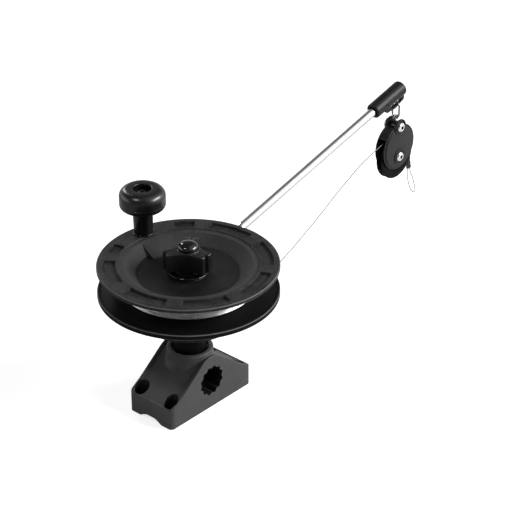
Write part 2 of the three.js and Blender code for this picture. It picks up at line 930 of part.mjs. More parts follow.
function spoolLowerFlange() {
  const lipInner = flangeRadius - lipWidth;
  const rimFace = lowerFaceInner - lowerFaceFall;
  const rimBottom = rimFace - lowerPlate;
  const drumInner = drumRadius - drumWall;
  const floorTop = spoolUnderside + spoolFloor;
  const underPlate = lowerFaceInner - lowerPlate;
  const body = turned(
    [
      [spoolBoreRadius, spoolUnderside],
      [panRadius + rimRound, spoolUnderside],
      [drumRadius, underPlate],
      [windingRadius, underPlate],
      [lipInner, rimBottom],
      [flangeRadius - rimRound, rimBottom - lowerLip],
      [flangeRadius, rimBottom + rimRound],
      [flangeRadius, rimFace],
      [flangeRadius - rimRound, rimFace + lowerLip],
      [lipInner + rimRound, rimFace + lowerLip],
      [lipInner, rimFace],
      [windingRadius, lowerFaceInner],
      [drumRadius, lowerFaceInner],
      [drumRadius, drumTop],
      [drumInner, drumTop],
      [drumInner, floorTop],
      [hubWallRadius, floorTop],
      [hubWallRadius, drumTop],
      [spoolBoreRadius, drumTop],
    ],
    wideFacets,
  );
  const posts = spoolScrewPlaces().map(([x, y]) =>
    pillar(spoolPostRadius, spoolUnderside + spoolFloor / 2, drumTop, tinyFacets).translate(x, y, 0),
  );
  const holes = spoolScrewPlaces().flatMap(([x, y]) => [
    pillar(spoolScrewRadius + runningGap, 0, drumTop + cutOverrun, tinyFacets).translate(x, y, 0),
    pillar(
      spoolScrewHeadRadius + runningGap,
      spoolUnderside - cutOverrun,
      spoolUnderside + spoolScrewHeadHeight + 2 * seatGap,
      tinyFacets,
    ).translate(x, y, 0),
  ]);
  return cut(joined(body, ...posts), ...holes);
}

function spoolScrewPlaces() {
  return regular(spoolScrewCircle, spoolScrewCount, spoolScrewDegrees);
}

function spoolScrew([x, y]) {
  const bottom = spoolUnderside + seatGap;
  return joined(
    pillar(spoolScrewHeadRadius, bottom, bottom + spoolScrewHeadHeight, tinyFacets),
    pillar(spoolScrewRadius, bottom + spoolScrewHeadHeight / 2, spoolScrewTop - seatGap, tinyFacets),
  ).translate([x, y, 0]);
}

function spoolUpperFlange() {
  const disc = turned(
    [
      [spoolBoreRadius, upperUnderside],
      [coneUndersideInner, upperUnderside],
      [coneUndersideOuter, plateUnderside],
      [flangeRadius - lipWidth, rimUnderside],
      [flangeRadius, rimUnderside + rimRound],
      [flangeRadius, plateTop - rimRound],
      [flangeRadius - rimRound, plateTop],
      [dishRimRadius + rimRound / 2, plateTop],
      [dishRimRadius, dishLedgeTop],
      [dishLedgeRadius, dishLedgeTop],
      [dishFloorRadius, upperFloorTop],
      [spoolBoreRadius, upperFloorTop],
    ],
    wideFacets,
  );
  const hole = pillar(spoolScrewRadius + runningGap, upperUnderside - cutOverrun, spoolScrewTop, tinyFacets);
  const holes = spoolScrewPlaces().map(([x, y]) => hole.clone().translate(x, y, 0));
  const stemHole = pillar(
    handleScrewRadius + runningGap,
    upperUnderside,
    plateTop + cutOverrun,
    tinyFacets,
  ).translate(stemSide, stemForward, 0);
  return cut(joined(disc, crankRamp()), ...rimPockets(), ...holes, stemHole);
}

// The raised ramp before the crank's stem: level with the dish's ledge, then down to its floor.
function crankRamp() {
  const half = rampWidth / 2;
  const outline = [
    [rampInner, upperFloorTop],
    [rampInner, upperFloorTop - seatGap],
    [dishFloorRadius, upperUnderside + seatGap],
    [dishRimRadius, dishLedgeTop - rimRound],
    [dishRimRadius, dishLedgeTop],
    [dishLedgeRadius, dishLedgeTop],
  ];
  return alongX(outline, -half, half).rotateZ(radians(rampDegrees - 90));
}

// Shallow pockets round the plate. Those beside the crank stop short of its land.
function rimPockets() {
  return Array.from({ length: pocketCount }, (_, i) => {
    const middle = pocketFirstDegrees + (i * 360) / pocketCount;
    let [from, to] = [middle - pocketSpanDegrees / 2, middle + pocketSpanDegrees / 2];
    if (from < rampDegrees && to > rampDegrees) from = rampDegrees + rampLandDegrees;
    else if (to > rampDegrees - rampLandDegrees && to < rampDegrees) to = rampDegrees - rampLandDegrees;
    else if (from < rampDegrees + rampLandDegrees && from > rampDegrees) from = rampDegrees + rampLandDegrees;
    const outline = [
      ...arc([0, 0], pocketOuter, from, to, pocketSteps),
      ...arc([0, 0], pocketInner, to, from, pocketSteps),
    ];
    return prism(outline, plateTop - pocketDepth, plateTop + cutOverrun);
  });
}

function spoolBushing() {
  const inner = spindleRadius + runningGap;
  return ringOf(inner, inner + bushingWall, spoolUnderside + seatGap, upperFloorTop - seatGap, smallFacets);
}

// The inner layers of cable, one body under the outer layer, with the notch that the outer layer starts in.
function cableCore() {
  const inner = drumRadius + seatGap;
  const bottom = lowerFaceInner + seatGap;
  const body = turned(
    [
      [inner, bottom],
      [coreRadius, bottom],
      [coreRadius, coneUnderside(coreRadius) - 2 * seatGap],
      [inner, coneUnderside(inner) - 2 * seatGap],
    ],
    wideFacets,
  );
  const half = cableRadius + seatGap;
  const depth = anchorDepth() + seatGap;
  const notch = block(
    [windingRadius - depth, -half, windingBottom() - half],
    [windingRadius + cutOverrun, half + anchorBend + cableDiameter, windingBottom() + half],
  );
  return cut(body, notch.rotateZ(radians(windingStart())));
}

function windingStart() {
  return leadDegrees - windingTurns * 360;
}

function windingBottom() {
  return lowerFaceInner + seatGap + cableRadius;
}

function windingTop() {
  return coneUnderside(windingRadius - cableRadius) - 2 * seatGap - cableRadius;
}

// The height of the upper flange's underside at a radius: flat, then a cone, then flat again.
function coneUnderside(radius) {
  const share = (radius - coneUndersideInner) / (coneUndersideOuter - coneUndersideInner);
  return THREE.MathUtils.lerp(upperUnderside, plateUnderside, THREE.MathUtils.clamp(share, 0, 1));
}

// How far the outer layer's first end reaches in from the layer's centre line.
function anchorDepth() {
  return anchorBend + cableDiameter;
}

// One unbroken tube: out of its notch and up the drum, turn beside turn, with a straight end off the top.
function cableWinding() {
  const up = new THREE.Vector3(0, 0, 1);
  const bottom = windingBottom();
  const first = windingStart();
  const outward = new THREE.Vector3(...onCircle(1, first), 0);
  const onward = new THREE.Vector3(...onCircle(1, first + 90), 0);
  const foot = new THREE.Vector3(0, 0, bottom);
  const place = (out, on) => foot.clone().addScaledVector(outward, out).addScaledVector(onward, on);
  const stations = [{ at: place(windingRadius - anchorDepth(), 0), along: outward, side: up }];
  for (let i = 0; i <= anchorSteps; i++) {
    const [back, out] = onCircle(anchorBend, (i * 90) / anchorSteps);
    const at = place(windingRadius - anchorBend + out, anchorBend - back);
    const along = outward.clone().multiplyScalar(back).addScaledVector(onward, out).normalize();
    stations.push({ at, along, side: up });
  }
  const steps = Math.round(windingTurns * windingStepsPerTurn);
  for (let i = 1; i <= steps; i++) {
    const turn = first + (i * 360) / windingStepsPerTurn;
    const [x, y] = onCircle(windingRadius, turn);
    const height = bottom + ((windingTop() - bottom) * i) / steps;
    const along = new THREE.Vector3(...onCircle(1, turn + 90), 0);
    stations.push({ at: new THREE.Vector3(x, y, height), along, side: up });
  }
  const last = stations[stations.length - 1];
  stations.push({ ...last, at: last.at.clone().addScaledVector(last.along, cableDiameter) });
  reportGap(stations.map((station) => station.at));
  return tube(stations, cableRadius, windingSides);
}

// Prints the winding's least gap to itself, measured between points more than half a turn apart.
function reportGap(points) {
  const apart = windingStepsPerTurn / 2;
  let least = Infinity;
  for (let i = 0; i < points.length; i++) {
    for (let j = i + apart; j + 1 < points.length; j++) {
      const line = new THREE.Line3(points[j], points[j + 1]);
      const near = line.closestPointToPoint(points[i], true, new THREE.Vector3());
      least = Math.min(least, near.distanceTo(points[i]));
    }
  }
  console.log("cable_winding least gap to itself", (least - cableDiameter).toFixed(3), "mm");
}

// Crank handle.

function stemRing() {
  const bottom = plateTop + seatGap;
  return atStem(
    ringOf(handleScrewRadius + runningGap, stemRingRadius, bottom, bottom + stemRingHeight, smallFacets),
  );
}

function atStem(made) {
  return asSolid(made).translate([stemSide, stemForward, 0]);
}

function handleStem() {
  const bore = handleScrewRadius + runningGap;
  return atStem(
    solid(
      turned(
        [
          [bore, stemBottom],
          [stemBaseRadius, stemBottom],
          [stemTopRadius, stemTop],
          [journalRadius, stemTop],
          [journalRadius, journalTop],
          [bore, journalTop],
        ],
        smallFacets,
      ),
    ),
  );
}

function crankKnob() {
  const bore = journalRadius + runningGap;
  const top = [knobRadius - knobTopRound, knobTop - knobTopRound];
  const low = [knobRadius - knobBottomRound, knobBottom + knobBottomRound];
  return atStem(
    solid(
      turned(
        [
          [bore, knobBottom],
          ...arc(low, knobBottomRound, -90, 0, cornerSteps - 1),
          ...arc(top, knobTopRound, 0, 90, cornerSteps + 1),
          [knobRecessRadius, knobTop],
          [knobRecessRadius, knobRecessFloor],
          [bore, knobRecessFloor],
        ],
        midFacets,
      ),
    ),
  );
}

function handleWasher() {
  const bottom = journalTop + seatGap;
  const inner = handleScrewRadius + runningGap;
  return atStem(ringOf(inner, handleWasherRadius, bottom, bottom + handleWasherHeight, smallFacets));
}

function handleScrew() {
  const seat = journalTop + 2 * seatGap + handleWasherHeight;
  const headTop = seat + handleHeadHeight;
  return atStem(
    joined(
      cut(
        buttonHead(seat, handleHeadRadius, handleHeadHeight),
        prism(regular(hexSocketRadius, 6), headTop - hexSocketDepth, headTop + cutOverrun),
      ),
      pillar(handleScrewRadius, rimUnderside + seatGap, seat + handleHeadHeight / 4, tinyFacets),
    ),
  );
}

// A round-topped screw head standing on a height.
function buttonHead(seat, radius, height) {
  return turned(
    buttonShares.map(([out, up]) => [radius * out, seat + height * up]),
    smallFacets,
  );
}

// Drag clutch.

function dragLining() {
  const bottom = dragLiningBottom;
  return ringOf(spoolBoreRadius + seatGap, dragLiningRadius, bottom, bottom + dragLiningThickness, midFacets);
}

function dragWasher() {
  const bottom = dragWasherBottom;
  const inner = spindleRadius + runningGap;
  return ringOf(inner, dragWasherRadius, bottom, bottom + dragWasherThickness, midFacets);
}

// Three flat-ended lobes joined by hollow sides.
function clutchOutline() {
  const half = clutchLobeWidth / 2;
  const spread = (Math.atan2(half, clutchLobeReach) * 180) / Math.PI;
  const reach = Math.hypot(half, clutchLobeReach);
  const sweep = 360 / clutchLobes;
  const points = [];
  for (let k = 0; k < clutchLobes; k++) {
    const lobe = clutchDegrees + k * sweep;
    points.push(onCircle(reach - clutchCornerRound, lobe - spread));
    points.push(onCircle(clutchLobeReach, lobe - spread * clutchFlatShare));
    points.push(onCircle(clutchLobeReach, lobe + spread * clutchFlatShare));
    points.push(onCircle(reach - clutchCornerRound, lobe + spread));
    for (let i = 1; i < clutchArcSteps; i++) {
      const share = i / clutchArcSteps;
      const turn = lobe + spread + (sweep - 2 * spread) * share;
      const chord = hollowRadius(turn - lobe - sweep / 2, sweep / 2 - spread, reach - clutchCornerRound);
      points.push(onCircle(chord, turn));
    }
  }
  return points;
}

// The radius of the hollow side at an angle off its middle: an arc through the two corners and the waist.
function hollowRadius(off, halfAngle, cornerReach) {
  const chord = cornerReach * Math.sin(radians(halfAngle));
  const sag = cornerReach * Math.cos(radians(halfAngle)) - clutchWaist;
  const round = (chord * chord + sag * sag) / (2 * sag);
  const centre = clutchWaist + round;
  const across = centre * Math.sin(radians(off));
  return centre * Math.cos(radians(off)) - Math.sqrt(round * round - across * across);
}

function clutchKnob() {
  const body = softPrism(clutchOutline(), clutchSkirtBottom, clutchTop, clutchEdgeRound);
  const hubTop = clutchSkirtBottom + clutchEdgeRound * 2;
  const hub = pillar(clutchHubRadius, clutchBottom, hubTop, smallFacets);
  const collarTop = clutchTop + clutchCollarHeight;
  const rim = pillar(clutchCollarRadius, clutchTop - clutchEdgeRound, collarTop, midFacets);
  return cut(
    joined(body, hub, rim),
    pillar(spindleRadius + runningGap, clutchBottom - cutOverrun, collarTop + cutOverrun, smallFacets),
    pillar(
      clutchInsertRadius + seatGap,
      clutchBottom - cutOverrun,
      clutchBottom + clutchInsertHeight + 2 * seatGap,
      smallFacets,
    ),
  );
}

function clutchInsert() {
  const inner = spindleRadius + runningGap;
  const bottom = clutchBottom + seatGap;
  return ringOf(inner, clutchInsertRadius, bottom, bottom + clutchInsertHeight, smallFacets);
}

function clutchCap() {
  const seat = clutchTop + clutchCollarHeight + seatGap;
  const dome = arc([0, 0], 1, 0, 90, cornerSteps).map(([out, up]) => [
    capRadius * out,
    seat + clutchEdgeRound + (capHeight - clutchEdgeRound) * up,
  ]);
  return turned([[0, seat], [capRadius, seat], ...dome], smallFacets);
}

// Pulley block. Its pieces are made about the sheave's axle and then set in place.

function atAxle(made) {
  return asSolid(made).translate([boomSide, blockForward, axleHeight]);
}

function cheek(side) {
  const [near, far] = [cheekGap / 2, blockOuterHalf];
  const [from, to] = side > 0 ? [near, far] : [-far, -near];
  const disc = softPrism(regular(cheekRadius, midFacets), from, to, cheekEdgeRound);
  const hangerRise = hangerHeight - axleHeight;
  const plate = disc.rotateY(Math.PI / 2).translate(0, 0, cheekCentreRise);
  const neckHalf = lugRadius - cheekEdgeRound;
  const neck = block([from, -neckHalf, cheekCentreRise], [to, neckHalf, hangerRise]);
  const lug = softPrism(regular(lugRadius, smallFacets), from, to, cheekEdgeRound)
    .rotateY(Math.PI / 2)
    .translate(0, 0, hangerRise);
  const face = side > 0 ? far : -far;
  const rings = [0, hangerRise].map((height) => bossRing(face, side).translate(0, 0, height));
  const hole = crossPin(blockScrewRadius + runningGap, from - cutOverrun, to + cutOverrun, tinyFacets);
  const holes = [0, hangerRise].map((height) => hole.clone().translate(0, 0, height));
  return atAxle(cut(joined(plate, neck, lug, ...rings), ...holes));
}

function bossRing(face, side) {
  const inner = bossRingRadius - bossRingWidth;
  const ends = [face - side * cheekEdgeRound, face + side * bossRingHeight].sort((a, b) => a - b);
  return ringOf(inner, bossRingRadius, ...ends, smallFacets).rotateY(Math.PI / 2);
}

function sheave() {
  const half = sheaveWidth / 2;
  const [floor, mouth] = [grooveFloorWidth / 2, grooveMouthWidth / 2];
  const bore = blockScrewRadius + runningGap + sheaveBushingWall + runningGap;
  const web = half - sheaveWebDepth;
  const body = turned(
    [
      [bore, -half],
      [sheaveWebInner, -half],
      [sheaveWebInner, -web],
      [sheaveWebOuter, -web],
      [sheaveWebOuter, -half],
      [sheaveRadius, -half],
      [sheaveRadius, -mouth],
      [grooveRadius, -floor],
      [grooveRadius, floor],
      [sheaveRadius, mouth],
      [sheaveRadius, half],
      [sheaveWebOuter, half],
      [sheaveWebOuter, web],
      [sheaveWebInner, web],
      [sheaveWebInner, half],
      [bore, half],
    ],
    midFacets,
  );
  return atAxle(body.rotateY(Math.PI / 2));
}

function sheaveBushing() {
  const inner = blockScrewRadius + runningGap;
  const half = cheekGap / 2 - seatGap;
  const ring = ringOf(inner, inner + sheaveBushingWall, -half, half, smallFacets);
  return atAxle(ring.rotateY(Math.PI / 2));
}

function blockScrew(rise) {
  const seat = blockOuterHalf + seatGap;
  const headTop = seat + buttonHeight;
  const head = cut(
    buttonHead(seat, buttonRadius, buttonHeight),
    prism(regular(hexSocketRadius, 6), headTop - hexSocketDepth, headTop + cutOverrun),
  );
  const shankEnd = -seat - blockNutHeight - seatGap;
  const shank = pillar(blockScrewRadius, shankEnd, seat + buttonHeight / 4, smallFacets);
  const made = solid(geometryOf(joined(head, shank)).rotateY(Math.PI / 2));
  return atAxle(made.translate([0, 0, rise]));
}

function blockNut(rise) {
  const seat = -blockOuterHalf - seatGap;
  const nut = cut(
    prism(regular(blockNutRadius, 6), seat - blockNutHeight, seat),
    pillar(blockScrewRadius + runningGap, seat - blockNutHeight - cutOverrun, 0, smallFacets),
  );
  const made = solid(geometryOf(nut).rotateY(Math.PI / 2));
  return atAxle(made.translate([0, 0, rise]));
}

// The long link through the rail's slot. It lies in the plane across the boom.
function hangerLink() {
  const bend = (linkWidth - linkWire) / 2;
  const [low, high] = [linkBottom + linkWidth / 2, linkTop - linkWidth / 2];
  const loop = [...arc([0, high], bend, 0, 180, linkSteps), ...arc([0, low], bend, 180, 360, linkSteps)];
  const start = loop[0];
  const points = [...loop, start].map(([x, z]) => new THREE.Vector3(boomSide + x, blockForward, z));
  return closedTube(points, new THREE.Vector3(0, 1, 0), linkWire / 2);
}

// A tube closed on itself in one plane: its first and last point are the same.
function closedTube(points, normal, radius) {
  const count = points.length - 1;
  const stations = points.slice(0, count).map((at, i) => {
    const before = points[(i + count - 1) % count];
    return { at, along: points[i + 1].clone().sub(before).normalize(), side: normal };
  });
  const open = tube([...stations, stations[0]], radius, pipeSides);
  const wallIndices = stations.length * pipeSides * 2 * 3;
  open.setIndex(Array.from(open.index.array).slice(0, wallIndices));
  return open;
}

// The eye over the link's lower wire, with its shank down into the knuckle.
function swivelEye() {
  const middle = linkBottom + linkWire + seatGap - eyeInnerRadius;
  const bend = eyeInnerRadius + eyeWire / 2;
  const loop = arc([0, middle], bend, 0, 360, eyeSteps);
  const points = loop.map(([y, z]) => new THREE.Vector3(boomSide, blockForward + y, z));
  const ring = closedTube(points, new THREE.Vector3(1, 0, 0), eyeWire / 2);
  const bottom = hangerHeight + blockScrewRadius + runningGap * 2;
  const shank = pillar(eyeShankRadius, bottom, middle - bend, tinyFacets);
  return joined(ring, shank.translate(boomSide, blockForward, 0));
}

// The knuckle that the upper screw carries between the cheeks.
function swivelKnuckle() {
  const half = cheekGap / 2 - seatGap;
  const rise = hangerHeight - axleHeight;
  return atAxle(
    cut(
      crossPin(knuckleRadius, -half, half).translate(0, 0, rise),
      crossPin(blockScrewRadius + runningGap, -half - cutOverrun, half + cutOverrun).translate(0, 0, rise),
      pillar(eyeShankRadius + runningGap, rise, rise + knuckleRadius + cutOverrun, tinyFacets),
    ),
  );
}

// Cable past the spool.

// Where the cable leaves the winding, and its direction there.
function leadOff() {
  const [x, y] = onCircle(leadRadius, leadDegrees);
  const direction = new THREE.Vector3(...onCircle(1, leadDegrees + 90), 0);
  return { at: new THREE.Vector3(x, y, leadHeight), direction };
}

function cableRun() {
  const { at, direction } = leadOff();
  const straight = at.clone().addScaledVector(direction, leadStraight);
  const top = onSheave(sheaveTopDegrees);
  const end = [top[0], top[1] - seatGap, top[2]];
  return cable([at.toArray(), straight.toArray(), ...runRoute, end], runSteps);
}

// A place on the cable's path round the sheave.
function onSheave(turn) {
  const [forward, rise] = onCircle(sheaveCableRadius, turn);
  return [boomSide, blockForward + forward, axleHeight + rise];
}

// From the sheave's top round it and down to the crimp.
function cableOverSheave() {
  const round = Array.from({ length: sheaveArcPoints }, (_, i) =>
    onSheave(sheaveTopDegrees + ((sheaveEndDegrees - sheaveTopDegrees) * i) / (sheaveArcPoints - 1)),
  );
  const [x, y, z] = crimpTop;
  return cable([...round, [x, y, z + seatGap]], tailSteps);
}

// The flattened sleeve that closes the loop.
function crimpSleeve() {
  const outline = regular(1, tinyFacets).map(([x, y]) => [crimpRadius * x, crimpWidth * y]);
  const sleeve = prism(outline, -crimpLength, 0).rotateX(radians(crimpLeanDegrees));
  return sleeve.translate(...crimpTop);
}

function cableLoop() {
  const foot = new THREE.Vector3(0, 0, -crimpLength - seatGap).applyAxisAngle(
    new THREE.Vector3(1, 0, 0),
    radians(crimpLeanDegrees),
  );
  foot.add(new THREE.Vector3(...crimpTop));
  const ends = [1, -1].map((side) => [foot.x, foot.y + side * loopStrandGap, foot.z]);
  return cable([ends[0], ...loopRoute, ends[1]], loopSteps);
}

// Finishes: colour, metalness and roughness.
const finishes = {
  greyNylon: material(0x4b4b4c, 0, 0.72),
  blackNylon: material(0x1c1c1d, 0, 0.6),
  glossBlack: material(0x0a0a0b, 0, 0.22),
  stainless: material(0xc9cacc, 1, 0.22),
  cableSteel: material(0xa6a8ab, 1, 0.4),
  lining: material(0x3a332c, 0, 0.9),
  bronze: material(0x9a7440, 1, 0.4),
};

function material(color, metalness, roughness) {
  return new THREE.MeshStandardMaterial({ color, metalness, roughness });
}

// A solid's surface as a geometry.
function geometryOf(made) {
  const surface = made.getMesh();
  const geometry = new THREE.BufferGeometry();
  geometry.setAttribute("position", new THREE.BufferAttribute(new Float32Array(surface.vertProperties), 3));
  geometry.setIndex(new THREE.BufferAttribute(new Uint32Array(surface.triVerts), 1));
  return geometry;
}

function piece(name, finish, made) {
  const geometry = geometryOf(asSolid(made));
  geometry.computeVertexNormals();
  const mesh = new THREE.Mesh(geometry, finish);
  mesh.name = name;
  return mesh;
}

function assembly(...pieces) {
  const group = new THREE.Group();
  group.add(...pieces);
  return group;
}

const bracket = assembly(piece("deck_bracket", finishes.greyNylon, deckBracket()));

const frame = assembly(
  piece("splined_post", finishes.blackNylon, splinedPost()),
  piece("spindle", finishes.stainless, spindle()),
  piece("spindle_nut", finishes.stainless, spindleNut()),
  piece("frame_base", finishes.blackNylon, frameBase()),
  piece("brake_lining", finishes.lining, brakeLining()),
  piece("boom_clamp_screw", finishes.stainless, boomClampScrew()),
  piece("boom_clamp_nut", finishes.stainless, boomClampNut()),
  piece("boom_rod", finishes.stainless, boomRod()),
  piece("boom_tip", finishes.blackNylon, boomTip()),
  piece("boom_tip_pin", finishes.stainless, boomTipPin()),
);

const spool = assembly(
  piece("spool_lower_flange", finishes.blackNylon, spoolLowerFlange()),
  piece("spool_upper_flange", finishes.blackNylon, spoolUpperFlange()),
  piece("spool_bushing", finishes.bronze, spoolBushing()),
  ...spoolScrewPlaces().map((place, i) =>
    piece("spool_screw_" + (i + 1), finishes.stainless, spoolScrew(place)),
  ),
  piece("cable_core", finishes.cableSteel, cableCore()),
  piece("cable_winding", finishes.cableSteel, cableWinding()),
  piece("stem_ring", finishes.blackNylon, stemRing()),
  piece("handle_stem", finishes.glossBlack, handleStem()),
  piece("handle_washer", finishes.stainless, handleWasher()),
  piece("handle_screw", finishes.stainless, handleScrew()),
);

const crank = assembly(piece("crank_knob", finishes.glossBlack, crankKnob()));

const clutch = assembly(
  piece("drag_lining", finishes.lining, dragLining()),
  piece("drag_washer", finishes.stainless, dragWasher()),
  piece("clutch_knob", finishes.blackNylon, clutchKnob()),
  piece("clutch_insert", finishes.bronze, clutchInsert()),
  piece("clutch_cap", finishes.glossBlack, clutchCap()),
);

const pulleyBlock = assembly(
  piece("hanger_link", finishes.stainless, hangerLink()),
  piece("swivel_eye", finishes.stainless, swivelEye()),
  piece("swivel_knuckle", finishes.stainless, swivelKnuckle()),
  piece("cheek_front", finishes.blackNylon, cheek(1)),
  piece("cheek_back", finishes.blackNylon, cheek(-1)),
  piece("sheave", finishes.blackNylon, sheave()),
  piece("sheave_bushing", finishes.bronze, sheaveBushing()),
  piece("axle_screw", finishes.stainless, blockScrew(0)),
  piece("axle_nut", finishes.stainless, blockNut(0)),
  piece("hanger_screw", finishes.stainless, blockScrew(hangerHeight - axleHeight)),
  piece("hanger_nut", finishes.stainless, blockNut(hangerHeight - axleHeight)),
);

const line = assembly(
  piece("cable_run", finishes.cableSteel, cableRun()),
  piece("cable_over_sheave", finishes.cableSteel, cableOverSheave()),
  piece("crimp_sleeve", finishes.stainless, crimpSleeve()),
  piece("cable_loop", finishes.cableSteel, cableLoop()),
);

export default assembly(bracket, frame, spool, crank, clutch, pulleyBlock, line);
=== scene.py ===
"""A hand-cranked downrigger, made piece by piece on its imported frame. Shapes are worked out in millimetres."""

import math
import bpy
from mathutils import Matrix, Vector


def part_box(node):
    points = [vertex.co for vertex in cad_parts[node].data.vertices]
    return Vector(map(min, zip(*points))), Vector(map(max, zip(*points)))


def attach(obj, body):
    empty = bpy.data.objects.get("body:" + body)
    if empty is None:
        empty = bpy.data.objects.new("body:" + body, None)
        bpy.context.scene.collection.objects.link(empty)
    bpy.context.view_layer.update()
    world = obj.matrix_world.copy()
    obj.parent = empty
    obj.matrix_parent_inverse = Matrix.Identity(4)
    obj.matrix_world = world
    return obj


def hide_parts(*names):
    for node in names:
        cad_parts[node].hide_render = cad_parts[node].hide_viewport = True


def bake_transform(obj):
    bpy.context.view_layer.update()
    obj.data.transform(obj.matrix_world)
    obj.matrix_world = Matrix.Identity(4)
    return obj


bl_info = {
    "name": "Downrigger",
    "version": (1, 0, 0),
    "blender": (4, 5, 0),
    "location": "View3D > Sidebar > Downrigger",
    "description": "Makes a hand-cranked downrigger on its packed frame",
    "category": "Add Mesh",
}

import bmesh
import bpy
import numpy as np
from bpy.props import FloatProperty, FloatVectorProperty, IntProperty, PointerProperty
from mathutils import Matrix, Vector

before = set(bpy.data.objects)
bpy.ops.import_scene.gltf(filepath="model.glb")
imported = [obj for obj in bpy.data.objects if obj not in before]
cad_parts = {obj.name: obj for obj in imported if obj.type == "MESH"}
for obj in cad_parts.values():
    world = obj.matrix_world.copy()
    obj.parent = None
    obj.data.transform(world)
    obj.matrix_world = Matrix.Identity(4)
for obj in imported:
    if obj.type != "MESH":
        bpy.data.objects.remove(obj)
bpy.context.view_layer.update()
MM = 0.001
TURN = 2 * math.pi
UP = (0, 0, 1)
ALONG_X = (1, 0, 0)
ALONG_Y = (0, 1, 0)


def box_mm(node):
    """A node's lowest and highest corners at rest, in millimetres."""
    low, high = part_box(node)
    return np.array(low, float) / MM, np.array(high, float) / MM


def levels_mm(node):
    """A node's lowest and highest level, in millimetres."""
    low, high = box_mm(node)
    return low[2], high[2]


def middle_mm(node):
    """The middle of a node's box, in millimetres."""
    low, high = box_mm(node)
    return (low + high) / 2


# Places that the frame gives.
SPOOL_HIGH = box_mm("spool_upper_flange")[1]
BRACKET_HIGH = box_mm("deck_bracket")[1]
AXLE = middle_mm("sheave")
HANGER = middle_mm("swivel_knuckle")
HANGER_RISE = HANGER[2] - AXLE[2]
STEM = middle_mm("handle_stem")
LINK_LOW, LINK_HIGH = box_mm("hanger_link")

# The boom's line along Y: its side offset, where its leg stands, its height at the spindle's axis and its rise, and
# where the tip's sleeve starts.
BOOM_SIDE = -22.0
BOOM_LEG = 82.0
BOOM_HEIGHT = 96.7
BOOM_RISE = 0.256
BOOM_ANGLE = math.atan(BOOM_RISE)
TIP_NEAR = 268.6


def above_axle(rise):
    """A place on the pulley block's middle line, by its rise above the wheel's axle."""
    return BOOM_SIDE, AXLE[1], AXLE[2] + rise


def srgb(red, green, blue):
    """A colour as a painter reads it, 0 to 255, turned into the linear values that light works in."""
    share = np.array([red, green, blue]) / 255
    linear = np.where(share <= 0.04045, share / 12.92, ((share + 0.055) / 1.055) ** 2.4)
    return tuple(float(x) for x in linear)


def length_property(name, description, millimetres):
    """A length that a user sets. It is kept in metres."""
    return FloatProperty(
        name=name, description=description, default=float(millimetres * MM), min=0, unit="LENGTH", precision=5
    )


def colour_property(name, description, colour):
    """A colour that a user sets, given as red, green and blue from 0 to 255."""
    return FloatVectorProperty(
        name=name, description=description, default=srgb(*colour), subtype="COLOR", size=3, min=0, max=1
    )


class DownriggerSizes(bpy.types.PropertyGroup):
    """Sizes that a user would change."""

    spool_radius: length_property("Spool radius", "Radius of both spool flanges", SPOOL_HIGH[0])
    rim_round: length_property("Rim rounding", "Rounding of the flanges' rims", 0.9)
    bracket_round: length_property("Bracket corners", "Rounding of the bracket's upright corners", 4.6)
    edge_round: length_property("Moulded edges", "Rounding of small moulded edges", 0.5)
    knob_shoulder: length_property("Knob shoulder", "Rounding of the crank knob's shoulder", 7.0)
    cable_diameter: length_property("Cable diameter", "Diameter of the trolling cable", 0.85)
    winding_turns: IntProperty(name="Cable turns", description="Turns in the outer layer", default=15, min=4, max=16)
    grain: length_property("Nylon grain", "Size of the moulded plastic's grain", 0.45)
    strand_pitch: length_property("Strand pitch", "Length of one twist of the cable's strands", 5.0)
    lamp_distance: length_property("Lamp distance", "Distance of the lamps from the reel", 1150)


class DownriggerColours(bpy.types.PropertyGroup):
    """Colours of the finishes."""

    bracket: colour_property("Bracket", "Dark grey nylon of the deck bracket", (65, 65, 66))
    reel: colour_property("Reel", "Black nylon of the spool and its frame", (21, 21, 22))
    tip: colour_property("Boom tip", "Black plastic of the boom's tip", (17, 17, 18))
    clutch: colour_property("Clutch", "Black plastic of the clutch knob", (17, 17, 18))
    gloss: colour_property("Gloss black", "Black of the crank knob and the clutch's cap", (9, 9, 10))
    steel: colour_property("Stainless", "Polished stainless steel", (236, 237, 238))
    dark_screw: colour_property("Dark screws", "Blackened screws", (70, 70, 73))
    cable: colour_property("Cable", "Stranded steel cable", (128, 129, 132))
    lining: colour_property("Friction lining", "Woven brake and drag lining", (76, 64, 52))
    bronze: colour_property("Bronze", "Sintered bronze bearings", (168, 128, 74))
    floor: colour_property("Floor", "Pale floor", (205, 205, 206))


def sizes():
    """The sizes as the user has set them."""
    return bpy.context.scene.downrigger_sizes


def colours():
    """The colours as the user has set them."""
    return bpy.context.scene.downrigger_colours


def mm(name):
    """A size of the property group, in millimetres."""
    return getattr(sizes(), name) / MM


# Curves and outlines.


def ring_turns(count):
    """Turns of equal step round a circle."""
    return np.arange(count) * TURN / count


def eased(share):
    """A share from 0 to 1 given level ends: 3s^2 - 2s^3. It takes numbers and sockets."""
    return share * share * (3 - 2 * share)


def smooth(share):
    """A step from 0 to 1 with level ends, held level outside them."""
    return eased(np.clip(share, 0, 1))


def eased_most(first, second, stiff, near):
    """The greater of two radii, eased where they cross: log(e^(k a) + e^(k b)) / k, worked out about a radius near
    both. A negative k gives the lesser."""
    return np.log(np.exp(stiff * (first - near)) + np.exp(stiff * (second - near))) / stiff + near


def polar(radius, turn, height=None):
    """Places by their radius and turn about Z: x = r cos a, y = r sin a, with a height where it is given."""
    x, y = radius * np.cos(turn), radius * np.sin(turn)
    return np.stack([x, y] if height is None else [x, y, height + 0 * x], -1)


